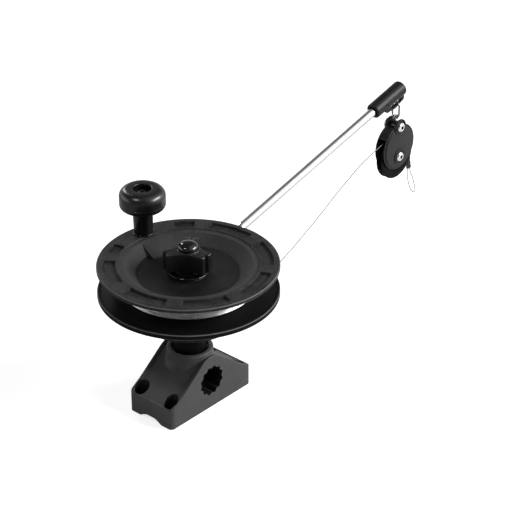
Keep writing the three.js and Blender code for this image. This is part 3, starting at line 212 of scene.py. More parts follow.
def rounded(corners, arc_steps=5):
    """A closed outline with its corners rounded. Each corner is (x, y) or (x, y, radius). An arc's centre lies on the
    corner's bisector at radius / sin(half its angle), and its points turn evenly between the two touching points."""
    points = np.array([corner[:2] for corner in corners], float)
    radius = np.array([corner[2] if len(corner) > 2 else 0 for corner in corners], float)
    back = np.roll(points, 1, 0) - points
    onward = np.roll(points, -1, 0) - points
    back /= np.linalg.norm(back, axis=1)[:, None]
    onward /= np.linalg.norm(onward, axis=1)[:, None]
    angle = np.arccos(np.clip(np.sum(back * onward, 1), -1, 1))
    straight = np.pi - angle < 1e-3
    radius = np.where(straight, 0, radius)
    bisector = back + onward
    bisector /= np.maximum(np.linalg.norm(bisector, axis=1), 1e-9)[:, None]
    reach = (radius / np.tan(np.maximum(angle, 1e-3) / 2))[:, None]
    centre = points + bisector * (radius / np.sin(np.maximum(angle, 1e-3) / 2))[:, None]
    start, end = points + back * reach - centre, points + onward * reach - centre
    sweep = np.maximum(np.pi - angle, 1e-6)[:, None, None]
    share = np.linspace(0, 1, arc_steps + 1)[None, :, None]
    arcs = (np.sin((1 - share) * sweep) * start[:, None] + np.sin(share * sweep) * end[:, None]) / np.sin(sweep)
    line = (centre[:, None] + arcs).reshape(-1, 2)
    kept = np.linalg.norm(line - np.roll(line, 1, 0), axis=1) > 1e-6
    return line[kept]


def rectangle(low, high, foot=0.0, head=None, arc_steps=5):
    """An upright rectangle's outline, its lower corners rounded by foot and its upper ones by head."""
    head = foot if head is None else head
    corners = [(low[0], low[1], foot), (high[0], low[1], foot), (high[0], high[1], head), (low[0], high[1], head)]
    return rounded(corners, arc_steps)


def refined(outline, longest):
    """The same closed outline with its long sides cut up, so that no side is longer than asked."""
    ends = np.roll(outline, -1, 0)
    count = np.maximum(np.ceil(np.linalg.norm(ends - outline, axis=1) / longest).astype(int), 1)
    side = np.repeat(np.arange(len(outline)), count)
    step = np.arange(count.sum()) - np.repeat(np.cumsum(count) - count, count)
    share = (step / count[side])[:, None]
    return outline[side] * (1 - share) + ends[side] * share


def smooth_line(points, count):
    """Places at equal distance along a centripetal Catmull-Rom line through the points: each span blends the straight
    lines between its four nearest points, timed by the square root of their distances."""
    p = np.array(points, float)
    p = np.vstack([2 * p[0] - p[1], p, 2 * p[-1] - p[-2]])
    knots = np.concatenate([[0], np.cumsum(np.linalg.norm(np.diff(p, axis=0), axis=1) ** 0.5)])
    span = np.arange(1, len(p) - 2)
    share = np.linspace(0, 1, 64, endpoint=False)
    place = [p[span + k][:, None, :] for k in (-1, 0, 1, 2)]
    time = [knots[span + k][:, None] for k in (-1, 0, 1, 2)]
    now = time[1] + share[None, :] * (time[2] - time[1])

    def between(a, b, i, j):
        weight = ((now - time[i]) / (time[j] - time[i]))[..., None]
        return a * (1 - weight) + b * weight

    near = [between(place[i], place[i + 1], i, i + 1) for i in range(3)]
    far = [between(near[0], near[1], 0, 2), between(near[1], near[2], 1, 3)]
    line = np.vstack([between(far[0], far[1], 1, 2).reshape(-1, 3), p[-2]])
    return evenly(line, count)


def evenly(line, count):
    """Places at equal distance along a polyline."""
    run = np.concatenate([[0], np.cumsum(np.linalg.norm(np.diff(line, axis=0), axis=1))])
    wanted = np.linspace(0, run[-1], count)
    return np.stack([np.interp(wanted, run, line[:, k]) for k in range(3)], -1)


def path_length(line):
    """A polyline's length: the sum of its steps."""
    return float(np.linalg.norm(np.diff(line, axis=0), axis=1).sum())


# Shells: points on a grid of rows and columns, with the faces between them.


def shell(points, close_rows=False, close_columns=True, along=None):
    """The faces between a grid's rows and columns, and where asked a map of (share round, distance along)."""
    rows, columns = points.shape[:2]
    i = np.arange(rows if close_rows else rows - 1)[:, None]
    j = np.arange(columns if close_columns else columns - 1)[None, :]
    below, right = (i + 1) % rows, (j + 1) % columns
    corners = [i * columns + j, i * columns + right, below * columns + right, below * columns + j]
    faces = np.stack([corner + 0 * (i + j) for corner in corners], -1).reshape(-1, 4)
    flat = None
    if along is not None:
        u = [j + 0 * i, j + 1 + 0 * i, j + 1 + 0 * i, j + 0 * i]
        v = [along[i] + 0 * j, along[i] + 0 * j, along[below] + 0 * j, along[below] + 0 * j]
        flat = np.stack([np.stack(u, -1) / columns, np.stack(v, -1)], -1).reshape(-1, 2)
    return points.reshape(-1, 3), faces.tolist(), flat


def turned(profile, turns=96, reach=None):
    """A profile of (radius, height) carried round the Z axis: x = r cos a, y = r sin a. reach, where given, changes
    each row's radius with the turn."""
    angle = ring_turns(turns) if np.isscalar(turns) else turns
    radius, height = profile[:, 0][:, None], profile[:, 1][:, None]
    if reach is not None:
        radius = reach(radius, height, angle[None, :])
    return polar(radius, angle, height)


def lathe(corners, turns=96, arc_steps=5):
    """A turned solid as one shell. Its outline's corners may be rounded, and it closes on itself."""
    return shell(turned(rounded(corners, arc_steps), turns), close_rows=True)


def slab(outline, low, high, edge=0.0, edge_steps=4):
    """An outline in X and Y carried up from low to high. Near both ends it draws in along its own normals by
    edge (1 - cos a) while it rises by edge sin a, which rounds the edges off."""
    sides = np.roll(outline, -1, 0) - outline
    area = np.sum(outline[:, 0] * np.roll(outline[:, 1], -1) - outline[:, 1] * np.roll(outline[:, 0], -1))
    if area < 0:
        return slab(outline[::-1], low, high, edge, edge_steps)
    outward = np.stack([sides[:, 1], -sides[:, 0]], -1)
    outward /= np.linalg.norm(outward, axis=1)[:, None]
    normal = outward + np.roll(outward, 1, 0)
    normal /= np.maximum(np.sum(normal * outward, 1), 0.2)[:, None]
    turn = np.linspace(0, math.pi / 2, edge_steps + 1) if edge else np.zeros(1)
    inset = edge * (1 - np.cos(turn))
    lift = edge * np.sin(turn)
    inset = np.concatenate([inset[::-1], inset])
    height = np.concatenate([low + edge - lift[::-1], high - edge + lift])
    flat = outline[None] - inset[:, None, None] * normal[None]
    points = np.concatenate([flat, np.repeat(height[:, None, None], len(outline), 1)], -1)
    vertices, faces, _ = shell(points)
    count, last = len(outline), (len(height) - 1) * len(outline)
    faces += [list(range(count))[::-1], list(range(last, last + count))]
    return vertices, faces, None


def block(low, high):
    """A plain block between two corners."""
    return slab(rectangle(low, high), low[2], high[2])


def swept(path, radius, sides=12, side=UP, closed=False):
    """A round section carried along a path: each ring is centre + r (cos a u + sin a v), where u is the side direction
    made square to the path and v is square to both. Open ends close on their middle point."""
    if closed:
        step = np.roll(path, -1, 0) - np.roll(path, 1, 0)
    else:
        step = np.gradient(path, axis=0)
    along = step / np.linalg.norm(step, axis=1)[:, None]
    u = np.array(side, float)[None] - (along @ np.array(side, float))[:, None] * along
    u /= np.linalg.norm(u, axis=1)[:, None]
    v = np.cross(along, u)
    angle = ring_turns(sides)[None, :, None]
    wide = np.broadcast_to(np.asarray(radius, float), (len(path),))[:, None, None]
    rings = path[:, None] + wide * (np.cos(angle) * u[:, None] + np.sin(angle) * v[:, None])
    run = np.concatenate([[0], np.cumsum(np.linalg.norm(np.diff(path, axis=0), axis=1))])
    if not closed:
        rings = np.concatenate([np.repeat(path[:1, None], sides, 1), rings, np.repeat(path[-1:, None], sides, 1)])
        run = np.concatenate([run[:1], run, run[-1:]])
    return shell(rings, close_rows=closed, along=run * MM)


def moved(made, by):
    """A shell set off by a distance."""
    points, faces, flat = made
    return points + np.array(by, float), faces, flat


def washer(inner, outer, low, high, foot=0.0, head=0.0, turns=96):
    """A turned rectangle, or a disc where inner is 0, with its outer edges rounded by foot and head."""
    return lathe([(inner, low), (outer, low, foot), (outer, high, head), (inner, high)], turns)


def pillar(radius, low, high, at=(0, 0), turns=64):
    """A plain round post at a place in X and Y."""
    return moved(washer(0, radius, low, high, turns=turns), (*at, 0))


def about_x(made, at=(0, 0, 0)):
    """A shell made about Z, or an outline in X and Y carried up, laid along X: (x, y, z) goes to (z, x, y)."""
    points, faces, flat = made
    return points[:, [2, 0, 1]] + np.array(at, float), faces, flat


def about_y(made):
    """A shell made about Z, laid along Y: (x, y, z) goes to (x, z, -y)."""
    points, faces, flat = made
    return np.stack([points[:, 0], points[:, 2], -points[:, 1]], -1), faces, flat


def spun(made, degrees):
    """A shell turned about Z."""
    points, faces, flat = made
    c, s = math.cos(math.radians(degrees)), math.sin(math.radians(degrees))
    return points @ np.array([[c, s, 0], [-s, c, 0], [0, 0, 1]]), faces, flat


def raised(made):
    """A shell made along Y from the sleeve's near face, tilted up to the boom's rise and set at its tip."""
    points, faces, flat = made
    c, s = math.cos(BOOM_ANGLE), math.sin(BOOM_ANGLE)
    y = points[:, 1] * c - points[:, 2] * s
    z = points[:, 1] * s + points[:, 2] * c
    at = (BOOM_SIDE, TIP_NEAR, BOOM_HEIGHT + BOOM_RISE * TIP_NEAR)
    return np.stack([points[:, 0], y, z], -1) + np.array(at), faces, flat


# Objects.


def solid(name, *shells):
    """One mesh object from shells, with its doubles merged and its faces outward."""
    points, faces, flats = [], [], []
    first = 0
    for vertices, polygons, flat in shells:
        points.append(vertices)
        faces += [[first + corner for corner in polygon] for polygon in polygons]
        flats.append(flat)
        first += len(vertices)
    mesh = bpy.data.meshes.new(name)
    mesh.from_pydata((np.vstack(points) * MM).tolist(), [], faces)
    if all(flat is not None for flat in flats):
        layer = mesh.uv_layers.new(name="UVMap")
        layer.data.foreach_set("uv", np.vstack(flats).astype(np.float32).ravel())
    tidy(mesh)
    made = bpy.data.objects.new(name, mesh)
    bpy.context.collection.objects.link(made)
    return made


def tidy(mesh, distance=5e-6):
    """Merges doubles within a distance in metres, drops what has no face and turns every face outward."""
    work = bmesh.new()
    work.from_mesh(mesh)
    bmesh.ops.remove_doubles(work, verts=work.verts, dist=distance)
    bmesh.ops.dissolve_degenerate(work, edges=work.edges, dist=distance / 5)
    bmesh.ops.delete(work, geom=[edge for edge in work.edges if not edge.link_faces], context="EDGES")
    bmesh.ops.delete(work, geom=[vertex for vertex in work.verts if not vertex.link_faces], context="VERTS")
    bmesh.ops.recalc_face_normals(work, faces=work.faces)
    work.to_mesh(mesh)
    work.free()


def applied(made):
    """The object with its modifiers worked into its mesh."""
    depsgraph = bpy.context.evaluated_depsgraph_get()
    fresh = bpy.data.meshes.new_from_object(made.evaluated_get(depsgraph))
    made.modifiers.clear()
    old, made.data = made.data, fresh
    bpy.data.meshes.remove(old)
    return made


def carved(made, *tools, operation="DIFFERENCE"):
    """The object joined with, cut by or kept within each tool, one after another."""
    for tool in tools:
        change = made.modifiers.new("shape", "BOOLEAN")
        change.operation, change.solver, change.object = operation, "EXACT", tool
        bpy.context.view_layer.update()
        applied(made)
        bpy.data.objects.remove(tool)
    return made


def moulded_edges(made, cell, passes, kept):
    """The object as one moulded body: remeshed in even cells, its edges softened, then thinned to a share kept."""
    cells = made.modifiers.new("cells", "REMESH")
    cells.mode, cells.voxel_size = "VOXEL", cell * MM
    soft = made.modifiers.new("soft", "SMOOTH")
    soft.factor, soft.iterations = 0.5, passes
    thin = made.modifiers.new("thin", "DECIMATE")
    thin.ratio = kept
    return applied(made)


def dress(made, body, slot, *nodes, sharp=35, paint=None):
    """Gives a finished mesh its shading, finish and body, and hides the CAD nodes that it stands for."""
    made.data.shade_smooth()
    made.data.set_sharp_from_angle(angle=math.radians(sharp))
    made.data.materials.clear()
    made.data.materials.append(finish(paint or slot))
    if nodes:
        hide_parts(*nodes)
    if body:
        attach(made, body)
    return made


# Finishes.

# Colours laid over a finish as painted light and shade: a near black painted shade, a painted highlight for rims and
# painted light for slopes.
PAINTED_SHADE_BLACK = (0.0012, 0.0012, 0.0013)
RIM_PAINTED_HIGHLIGHT = srgb(96, 96, 98)
SLOPE_PAINTED_LIGHT = srgb(64, 64, 65)


class Value:
    """A socket that carries a number, so that shader maths reads as sums."""

    def __init__(self, paint, socket):
        self.paint, self.socket = paint, socket

    def maths(self, operation, *others):
        """Adds one Math node."""
        sockets = dict(enumerate((self, *others)))
        return self.paint.node("ShaderNodeMath", {"operation": operation}, sockets)

    def __add__(self, other):
        return self.maths("ADD", other)

    __radd__ = __add__

    def __mul__(self, other):
        return self.maths("MULTIPLY", other)

    __rmul__ = __mul__

    def __sub__(self, other):
        return self.maths("SUBTRACT", other)

    def __rsub__(self, other):
        return self * -1 + other

    def __pow__(self, other):
        return self.maths("POWER", other)

    def __abs__(self):
        return self.maths("ABSOLUTE")

    def most(self, other):
        """The greater of the two."""
        return self.maths("MAXIMUM", other)

    def within(self, low=0.0, high=1.0):
        """The value held between two limits."""
        return self.most(low).maths("MINIMUM", high)

    def above(self, limit, steep):
        """1 above a limit and 0 below it, over a slope."""
        return ((self - limit) * steep).within()

    def below(self, limit, steep):
        """1 below a limit and 0 above it, over a slope."""
        return ((self * -1 + limit) * steep).within()


class Paint:
    """A material's or world's node tree. Every node comes from one method."""

    def __init__(self, owner):
        owner.use_nodes = True
        self.owner, self.tree = owner, owner.node_tree

    def node(self, kind, settings=None, sockets=None, out=0):
        """Adds a node: its settings first, then the values or links of its sockets. Gives one of its outputs."""
        made = self.tree.nodes.new(kind)
        for key, value in (settings or {}).items():
            setattr(made, key, value)
        for key, value in (sockets or {}).items():
            self.feed(made.inputs[key], value)
        return Value(self, made.outputs[out]) if len(made.outputs) else None

    def feed(self, socket, value):
        """Links or sets a socket. A colour that comes without its alpha gets 1."""
        if isinstance(value, Value):
            self.tree.links.new(value.socket, socket)
        elif hasattr(value, "__len__"):
            socket.default_value = list(value) + [1] * (len(socket.default_value) - len(value))
        else:
            socket.default_value = value

    def place(self):
        """Object coordinates."""
        return self.node("ShaderNodeTexCoord", out="Object")

    def axes(self):
        """The object coordinates one by one, in millimetres."""
        outputs = self.node("ShaderNodeSeparateXYZ", {}, {"Vector": self.place()}).socket.node.outputs
        return [Value(self, output) * (1 / MM) for output in outputs]

    def laid(self, share, colour=PAINTED_SHADE_BLACK):
        """Lays a colour over the base colour by a share: painted shade, near black, unless another colour is given."""
        socket = self.tree.nodes["Principled BSDF"].inputs["Base Color"]
        below = Value(self, socket.links[0].from_socket)
        self.shade(Base_Color=self.blend(share.within(), below, colour))

    def stretched(self, scale, where=None):
        """Object coordinates, or the given ones, drawn out along an axis."""
        return self.node("ShaderNodeMapping", {}, {"Vector": where or self.place(), "Scale": scale})

    def noise(self, size, detail=2.0, at=None, roughness=0.5):
        """Soft noise whose blots are about the given size in millimetres."""
        where = at or self.place()
        sockets = {"Vector": where, "Scale": 1 / (size * MM), "Detail": detail, "Roughness": roughness}
        return self.node("ShaderNodeTexNoise", {}, sockets)

    def blend(self, share, first, second):
        """A colour between two, by a share."""
        return self.node("ShaderNodeMix", {"data_type": "RGBA"}, {0: share, 6: first, 7: second}, out=2)

    def shade(self, **inputs):
        """Sets the shader's own sockets."""
        shader = self.tree.nodes["Principled BSDF"]
        for key, value in inputs.items():
            self.feed(shader.inputs[key.replace("_", " ")], value)

    def relief(self, height, depth, strength=1.0):
        """A bump of the given depth in millimetres."""
        sockets = {"Height": height, "Distance": depth * MM, "Strength": strength}
        return self.node("ShaderNodeBump", {}, sockets)


def tinted(colour, share):
    """A colour made lighter or darker by a share."""
    return tuple(float(min(1, channel * share)) for channel in colour)


def apart(across, over):
    """The distance from an axis, from two offsets."""
    return (across * across + over * over) ** 0.5


def mingled(*noises):
    """Noises mixed: the sum of each one's swing about its middle, 0.5, times its weight."""
    first, *rest = [(noise - 0.5) * weight for noise, weight in noises]
    return sum(rest, first)


def nylon(paint, colour, rough, depth, spread=0.16, shine=0.5, wear=1.0):
    """Moulded plastic: a fine even grain, faint clouding of the colour and dull patches where it has been handled."""
    grain = paint.noise(mm("grain"), 3.0)
    clouds = paint.noise(14.0, 4.0)
    scuffs = paint.noise(2.2, 5.0, roughness=0.65)
    share = mingled((clouds, 1.2), (scuffs, 2.6), (grain, 1.2)) + 0.5
    colour_now = paint.blend(share.within(), tinted(colour, 1 - spread), tinted(colour, 1 + spread))
    dull = mingled((clouds, 0.12), (scuffs, rough * 0.5), (grain, 0.1)) * wear + rough
    paint.shade(Base_Color=colour_now, Roughness=dull.within(0.05, 1.0), Specular_IOR_Level=shine)
    paint.shade(Normal=paint.relief(grain + scuffs * 1.2, depth))


def polished(paint, colour, rough, stretch, depth, streak=0.5):
    """Drawn or polished steel: long streaks that break up the shine, and a few duller blots."""
    streaks = paint.noise(1.0, 4.0, paint.stretched(stretch))
    blots = paint.noise(7.0, 3.0)
    share = mingled((streaks, 1.2), (blots, 0.5)) + 0.5
    colour_now = paint.blend(share.within(), tinted(colour, 0.86), tinted(colour, 1.06))
    dull = mingled((streaks, streak * 0.3), (blots, 0.12)) + rough
    paint.shade(Base_Color=colour_now, Roughness=dull.within(0.03, 1.0), Metallic=1.0)
    paint.shade(Normal=paint.relief(streaks, depth, 0.5))


def wound(paint, colour):
    """Cable lying side by side: long streaks along its run on its own map, brighter and duller by turns."""
    where = paint.stretched((2.0, 45.0, 1.0), paint.node("ShaderNodeUVMap", {"uv_map": "UVMap"}))
    streaks = paint.node("ShaderNodeTexNoise", {}, {"Vector": where, "Scale": 1.0, "Detail": 5.0})
    share = mingled((streaks, 2.2), (paint.noise(2.0, 4.0), 0.8)) + 0.5
    paint.shade(Base_Color=paint.blend(share.within(), tinted(colour, 0.55), tinted(colour, 1.2)), Metallic=1.0)
    paint.shade(Roughness=(mingled((streaks, 0.3)) + 0.3).within(0.1, 0.9), Normal=paint.relief(streaks, 0.03))


def stranded(paint, colour, strands=7):
    """Stranded cable on its own map: strands that wind round it as it runs, with painted shade in each one's valleys.
    """
    around = paint.node("ShaderNodeSeparateXYZ", {}, {"Vector": paint.node("ShaderNodeUVMap", {"uv_map": "UVMap"})})
    along = Value(paint, around.socket.node.outputs[1])
    phase = (around * strands + along * (strands / sizes().strand_pitch)) * TURN
    ridge = phase.maths("SINE") * 0.5 + 0.5
    soil = paint.noise(3.0, 4.0)
    # Painted shade: the colour darkens in the valleys between the strands.
    share = ridge * 0.85 + mingled((soil, 0.5)) + 0.1
    paint.shade(Base_Color=paint.blend(share.within(), tinted(colour, 0.88), tinted(colour, 1.02)), Metallic=1.0)
    paint.shade(Roughness=(mingled((soil, 0.3)) + 0.3).within(0.1, 0.9), Normal=paint.relief(ridge, 0.015, 0.5))


def woven(paint, colour):
    """Friction lining: dull, with fine fibres, slightly speckled."""
    fine = paint.noise(0.5, 4.0)
    share = mingled((fine, 1.4), (paint.noise(4.0, 3.0), 0.6)) + 0.5
    paint.shade(Base_Color=paint.blend(share.within(), tinted(colour, 0.6), tinted(colour, 1.35)))
    paint.shade(Roughness=(mingled((fine, 0.2)) + 0.85).within(), Normal=paint.relief(fine, 0.12))


def bracket_hole_shade(paint):
    """Painted shade, near black, inside the bracket's screw seats, its cross hole and its collar's mouth."""
    x, y, z = paint.axes()
    wide, far = abs(x), abs(y)
    seats = apart(wide - SCREW_SIDE, far - SCREW_FAR).below(6.55, 5)
    cross = apart(y, z - CROSS_HEIGHT).below(14.3, 5) * wide.below(HALF_WIDTH - 0.1, 9)
    mouth = apart(x, y).below(15.9, 5)
    paint.laid(seats.most(cross).most(mouth) * 0.9)


def painted_rim_highlight(paint, high, low):
    """A painted highlight along the two round edges of a flange's rim, at their heights."""
    x, y, z = paint.axes()
    reach = apart(x, y)
    rim = reach.above(SPOOL_HIGH[0] - 0.9, 3) * reach.below(SPOOL_HIGH[0] + 0.6, 3)
    edges = [(abs(z - height) * -2.2 + 1.4).within() for height in (high, low)]
    paint.laid(rim * edges[0].most(edges[1]), RIM_PAINTED_HIGHLIGHT)


def lower_rim_highlight(paint):
    """A painted highlight along the lower flange's rim."""
    painted_rim_highlight(paint, 107.2, 103.2)


def dish_light_and_shade(paint):
    """Painted shade on the dish's floor, painted light on its slopes and on the ramp, and a painted highlight along
    the rim.
    """
    x, y, z = paint.axes()
    reach, over_floor = apart(x, y), DISH_LEVEL + 0.6
    floor = reach.below(45, 0.5) * z.below(over_floor, 4)
    slopes = reach.below(60, 0.5) * z.above(over_floor, 1.5) * z.below(LEDGE_TOP + 0.7, 2)
    # Painted shade on the dish's floor, then painted light on its slopes.
    paint.laid(floor * 0.68)
    paint.laid(slopes * 0.5, SLOPE_PAINTED_LIGHT)
    # A painted highlight along the upper flange's rim.
    painted_rim_highlight(paint, SPOOL_HIGH[2] - 0.3, 128.2)


def cheek_groove_shade(paint):
    """Painted shade, near black, on the low band round the plate's raised face and in the grooves about its screws."""
    _, y, z = paint.axes()
    dark = apart(y - AXLE[1], z - (AXLE[2] + CHEEK_RISE)).above(CHEEK_RADIUS - 2.5, 4)
    for at in (AXLE, HANGER):
        about = apart(y - at[1], z - at[2])
        for groove in (6.05, 8.1):
            dark = dark.most(abs(about - groove).below(0.6, 4))
    paint.laid(dark * 0.85)


def screw_socket_shade(paint):
    """Painted shade, near black, inside the sockets of the block's two screws."""
    _, y, z = paint.axes()
    axle, hanger = [apart(y - at[1], z - at[2]).below(1.8, 6) for at in (AXLE, HANGER)]
    paint.laid(axle.most(hanger))


def coat(make, colour, share=1.0, laid=None, **values):
    """What a finish is made of: its maker, its colour with the share that tints it, what is laid over it and the
    maker's values."""
    return make, colour, share, laid, values


BRIGHT = {"rough": 0.15, "stretch": (1, 0.06, 0.06), "depth": 0.002, "streak": 0.25}
# Some finishes carry painted light and shade: what is laid over them, the lower flange's darker copy of the reel's
# nylon and the cable's brighter wound and darker inner copies.
FINISHES = {
    "bracket_nylon": coat(nylon, "bracket", 1.12, bracket_hole_shade, rough=0.56, depth=0.09, shine=0.35),
    "reel_nylon": coat(nylon, "reel", 2.6, dish_light_and_shade, rough=0.5, depth=0.2, spread=0.75, shine=0.16),
    # The reel's nylon made darker as painted shade, for the lower flange between the flanges and the post under the
    # pan.
    "flange_black": coat(nylon, "reel", 0.6, lower_rim_highlight, rough=0.5, depth=0.01, spread=0.24, shine=0.06, wear=0.3),
    "tip_plastic": coat(nylon, "tip", rough=0.42, depth=0.06, spread=0.4, shine=0.24, wear=0.5),
    "cheek_plastic": coat(nylon, "tip", 1.9, cheek_groove_shade, rough=0.42, depth=0.06, spread=0.3, shine=0.3, wear=0.5),
    "clutch_black": coat(nylon, "clutch", rough=0.34, depth=0.001, wear=0.1),
    "gloss_black": coat(nylon, "gloss", rough=0.29, depth=0.0004, spread=0.12, wear=0.15),
    "cap_gloss": coat(nylon, "gloss", rough=0.1, depth=0.0005, spread=0.08, shine=0.6, wear=0.2),
    "wheel_black": coat(nylon, "gloss", rough=0.3, depth=0.004, spread=0.12, shine=0.05),
    "stainless": coat(polished, "steel", **BRIGHT),
    "screw_steel": coat(polished, "steel", 1.0, screw_socket_shade, **BRIGHT),
    "link_steel": coat(polished, "steel", 0.3, rough=0.2, stretch=(1, 1, 0.2), depth=0.004),
    "black_screw": coat(polished, "dark_screw", rough=0.32, stretch=(1, 1, 0.3), depth=0.01),
    "bronze": coat(polished, "bronze", rough=0.34, stretch=(1, 1, 0.2), depth=0.01),
    "cable_steel": coat(stranded, "cable", 1.5),
    # The wound cable is the same cable made brighter as painted light, and the layers beneath made darker as painted
    # shade.
    "cable_wound": coat(wound, "cable", 4.0),
    "cable_shade": coat(wound, "cable", 0.5),
    "lining": coat(woven, "lining"),
}


def finish(slot):
    """The material of a finish, made once."""
    name = "finish_" + slot
    if name not in bpy.data.materials:
        make, colour, share, laid, values = FINISHES[slot]
        paint = Paint(bpy.data.materials.new(name))
        make(paint, tinted(getattr(colours(), colour), share), **values)
        if laid:
            laid(paint)
    return bpy.data.materials[name]


# Stage. Its places and sizes are in metres, but for the floor's, which are in millimetres.

CAMERA_AT = (1.01109, -1.05491, 0.97122)
CAMERA_RIGHT = (0.7478, 0.6639, 0.0)
CAMERA_FORWARD = (-0.5766, 0.6495, -0.4958)
CAMERA_TURN = -48.4
FOCAL_PIXELS = 2044.9
FRAME_PIXELS = 512
SENSOR = 36.0
LAMP_AIM = (-0.01, 0.1, 0.12)
# Each lamp: turn from the camera's side and height in degrees, width, depth and power.
LAMPS = {
    "lamp_front": (-46, 53, 0.22, 0.17, 2.6),
    "lamp_right": (80, 31, 0.78, 0.34, 18.5),
    "lamp_left": (-147, 30, 0.18, 0.3, 2.2),
}
# The studio's glows, seen only in what shines: direction, the cosine off it where the glow starts, the span over which
# it fills, and its strength. The first one dims the horizon.
DIM_SIDE = ((0.664, -0.748, 0.0), 0.1, 0.7, 0.75)
SCREEN = ((0.651, 0.501, 0.571), 0.5, 0.45, 1.0)
PANELS = (((-0.79, -0.61, 0.0), 0.8, 0.15, 1.2), ((0.62, 0.78, 0.0), 0.8, 0.15, 1.2))
HORIZON_TOP = 0.5
HORIZON_SPAN = 0.45
CEILING = 0.15
WORLD_SOFT = 0.12
FLOOR_HALF = 2600.0
FLOOR_LOW = -4.0
FLOOR_TOP = -0.2
# What the floor adds to its own light where the camera sees it, where it shows in a shine and through glass.
FLOOR_SEEN = 0.75
FLOOR_SHINE = 0.05
FLOOR_THROUGH = 0.4


def make_camera():
    """The camera: its focal length is the sensor's width times focal pixels / frame pixels."""
    forward, right = Vector(CAMERA_FORWARD).normalized(), Vector(CAMERA_RIGHT).normalized()
    up = right.cross(forward)
    data = bpy.data.cameras.new("camera")
    data.sensor_fit, data.sensor_width = "HORIZONTAL", SENSOR
    data.lens = FOCAL_PIXELS / FRAME_PIXELS * SENSOR
    camera = bpy.data.objects.new("camera", data)
    axes = Matrix((right, up, -forward)).transposed().to_4x4()
    camera.matrix_world = Matrix.Translation(Vector(CAMERA_AT)) @ axes
    bpy.context.collection.objects.link(camera)
    bpy.context.scene.camera = camera


def make_lamps():
    """Area lamps about one aim: each ray is (cos turn cos height, sin turn cos height, sin height)."""
    for name, (turn, height, width, depth, power) in LAMPS.items():
        data = bpy.data.lights.new(name, "AREA")
        data.shape, data.size, data.size_y, data.energy = "RECTANGLE", width, depth, power
        lamp = bpy.data.objects.new(name, data)
        side, lift = math.radians(CAMERA_TURN + turn), math.radians(height)
        ray = Vector((math.cos(side) * math.cos(lift), math.sin(side) * math.cos(lift), math.sin(lift)))
        lamp.location = Vector(LAMP_AIM) + ray * sizes().lamp_distance
        lamp.rotation_euler = ray.to_track_quat("Z", "Y").to_euler()
        bpy.context.collection.objects.link(lamp)


def ray_kinds(paint):
    """1 for rays from the camera, off something that shines and through glass, each on its own."""
    outputs = paint.node("ShaderNodeLightPath", out="Is Camera Ray").socket.node.outputs
    return [Value(paint, outputs[name]) for name in ("Is Camera Ray", "Is Glossy Ray", "Is Transmission Ray")]


def make_world():
    """White where it is seen. What shines shows a studio: a white horizon that is dim on the camera's side, bright
    panels left and right, a wide white screen behind on the right and a dim ceiling."""
    world = bpy.data.worlds.new("world")
    bpy.context.scene.world = world
    paint = Paint(world)
    paint.tree.nodes.clear()
    way = paint.node("ShaderNodeTexCoord", out="Generated")
    height = Value(paint, paint.node("ShaderNodeSeparateXYZ", {}, {"Vector": way}).socket.node.outputs[2])

    def glow(direction, start, span, strength):
        """A strength that sets in where a ray's cosine off the direction passes start, and is full a span on."""
        facing = paint.node("ShaderNodeVectorMath", {"operation": "DOT_PRODUCT"}, {0: way, 1: direction}, out="Value")
        return eased(facing.above(start, 1 / span)) * strength

    horizon = eased(height.below(HORIZON_TOP, 1 / HORIZON_SPAN)) * (1 - glow(*DIM_SIDE))
    studio = horizon.most(glow(*SCREEN)) * (1 - CEILING) + CEILING
    for panel in PANELS:
        studio = studio + glow(*panel)
    camera, shine, through = ray_kinds(paint)
    white = (camera + through).within()
    seen = white + (1 - white) * shine * studio
    soft = (1 - (white + shine).within()) * WORLD_SOFT
    light = paint.node("ShaderNodeBackground", {}, {"Color": (1, 1, 1), "Strength": seen + soft})
    paint.node("ShaderNodeOutputWorld", {}, {"Surface": light})


def make_floor():
    """The pale floor. It glows a little where it is seen, which keeps it white under soft light."""
    floor = solid("floor", block((-FLOOR_HALF, -FLOOR_HALF, FLOOR_LOW), (FLOOR_HALF, FLOOR_HALF, FLOOR_TOP)))
    paint = Paint(bpy.data.materials.new("floor_paper"))
    paint.tree.nodes.clear()
    paper = paint.node("ShaderNodeBsdfDiffuse", {}, {"Color": tuple(colours().floor)})
    camera, shine, through = ray_kinds(paint)
    strength = camera * FLOOR_SEEN + through * FLOOR_THROUGH + shine * FLOOR_SHINE
    glow = paint.node("ShaderNodeEmission", {}, {"Color": (1, 1, 1), "Strength": strength})
    both = paint.node("ShaderNodeAddShader", {}, {0: paper, 1: glow})
    paint.node("ShaderNodeOutputMaterial", {}, {"Surface": both})
    floor.data.materials.append(paint.owner)


class DOWNRIGGER_OT_stage(bpy.types.Operator):
    """Sets up the camera, the lamps, the pale floor and the white surroundings"""

    bl_idname = "downrigger.stage"
    bl_label = "Stage"

    def execute(self, context):
        context.scene.view_settings.view_transform = "Standard"
        make_camera()
        make_lamps()
        make_world()
        make_floor()
        return {"FINISHED"}


# Cable past the spool.

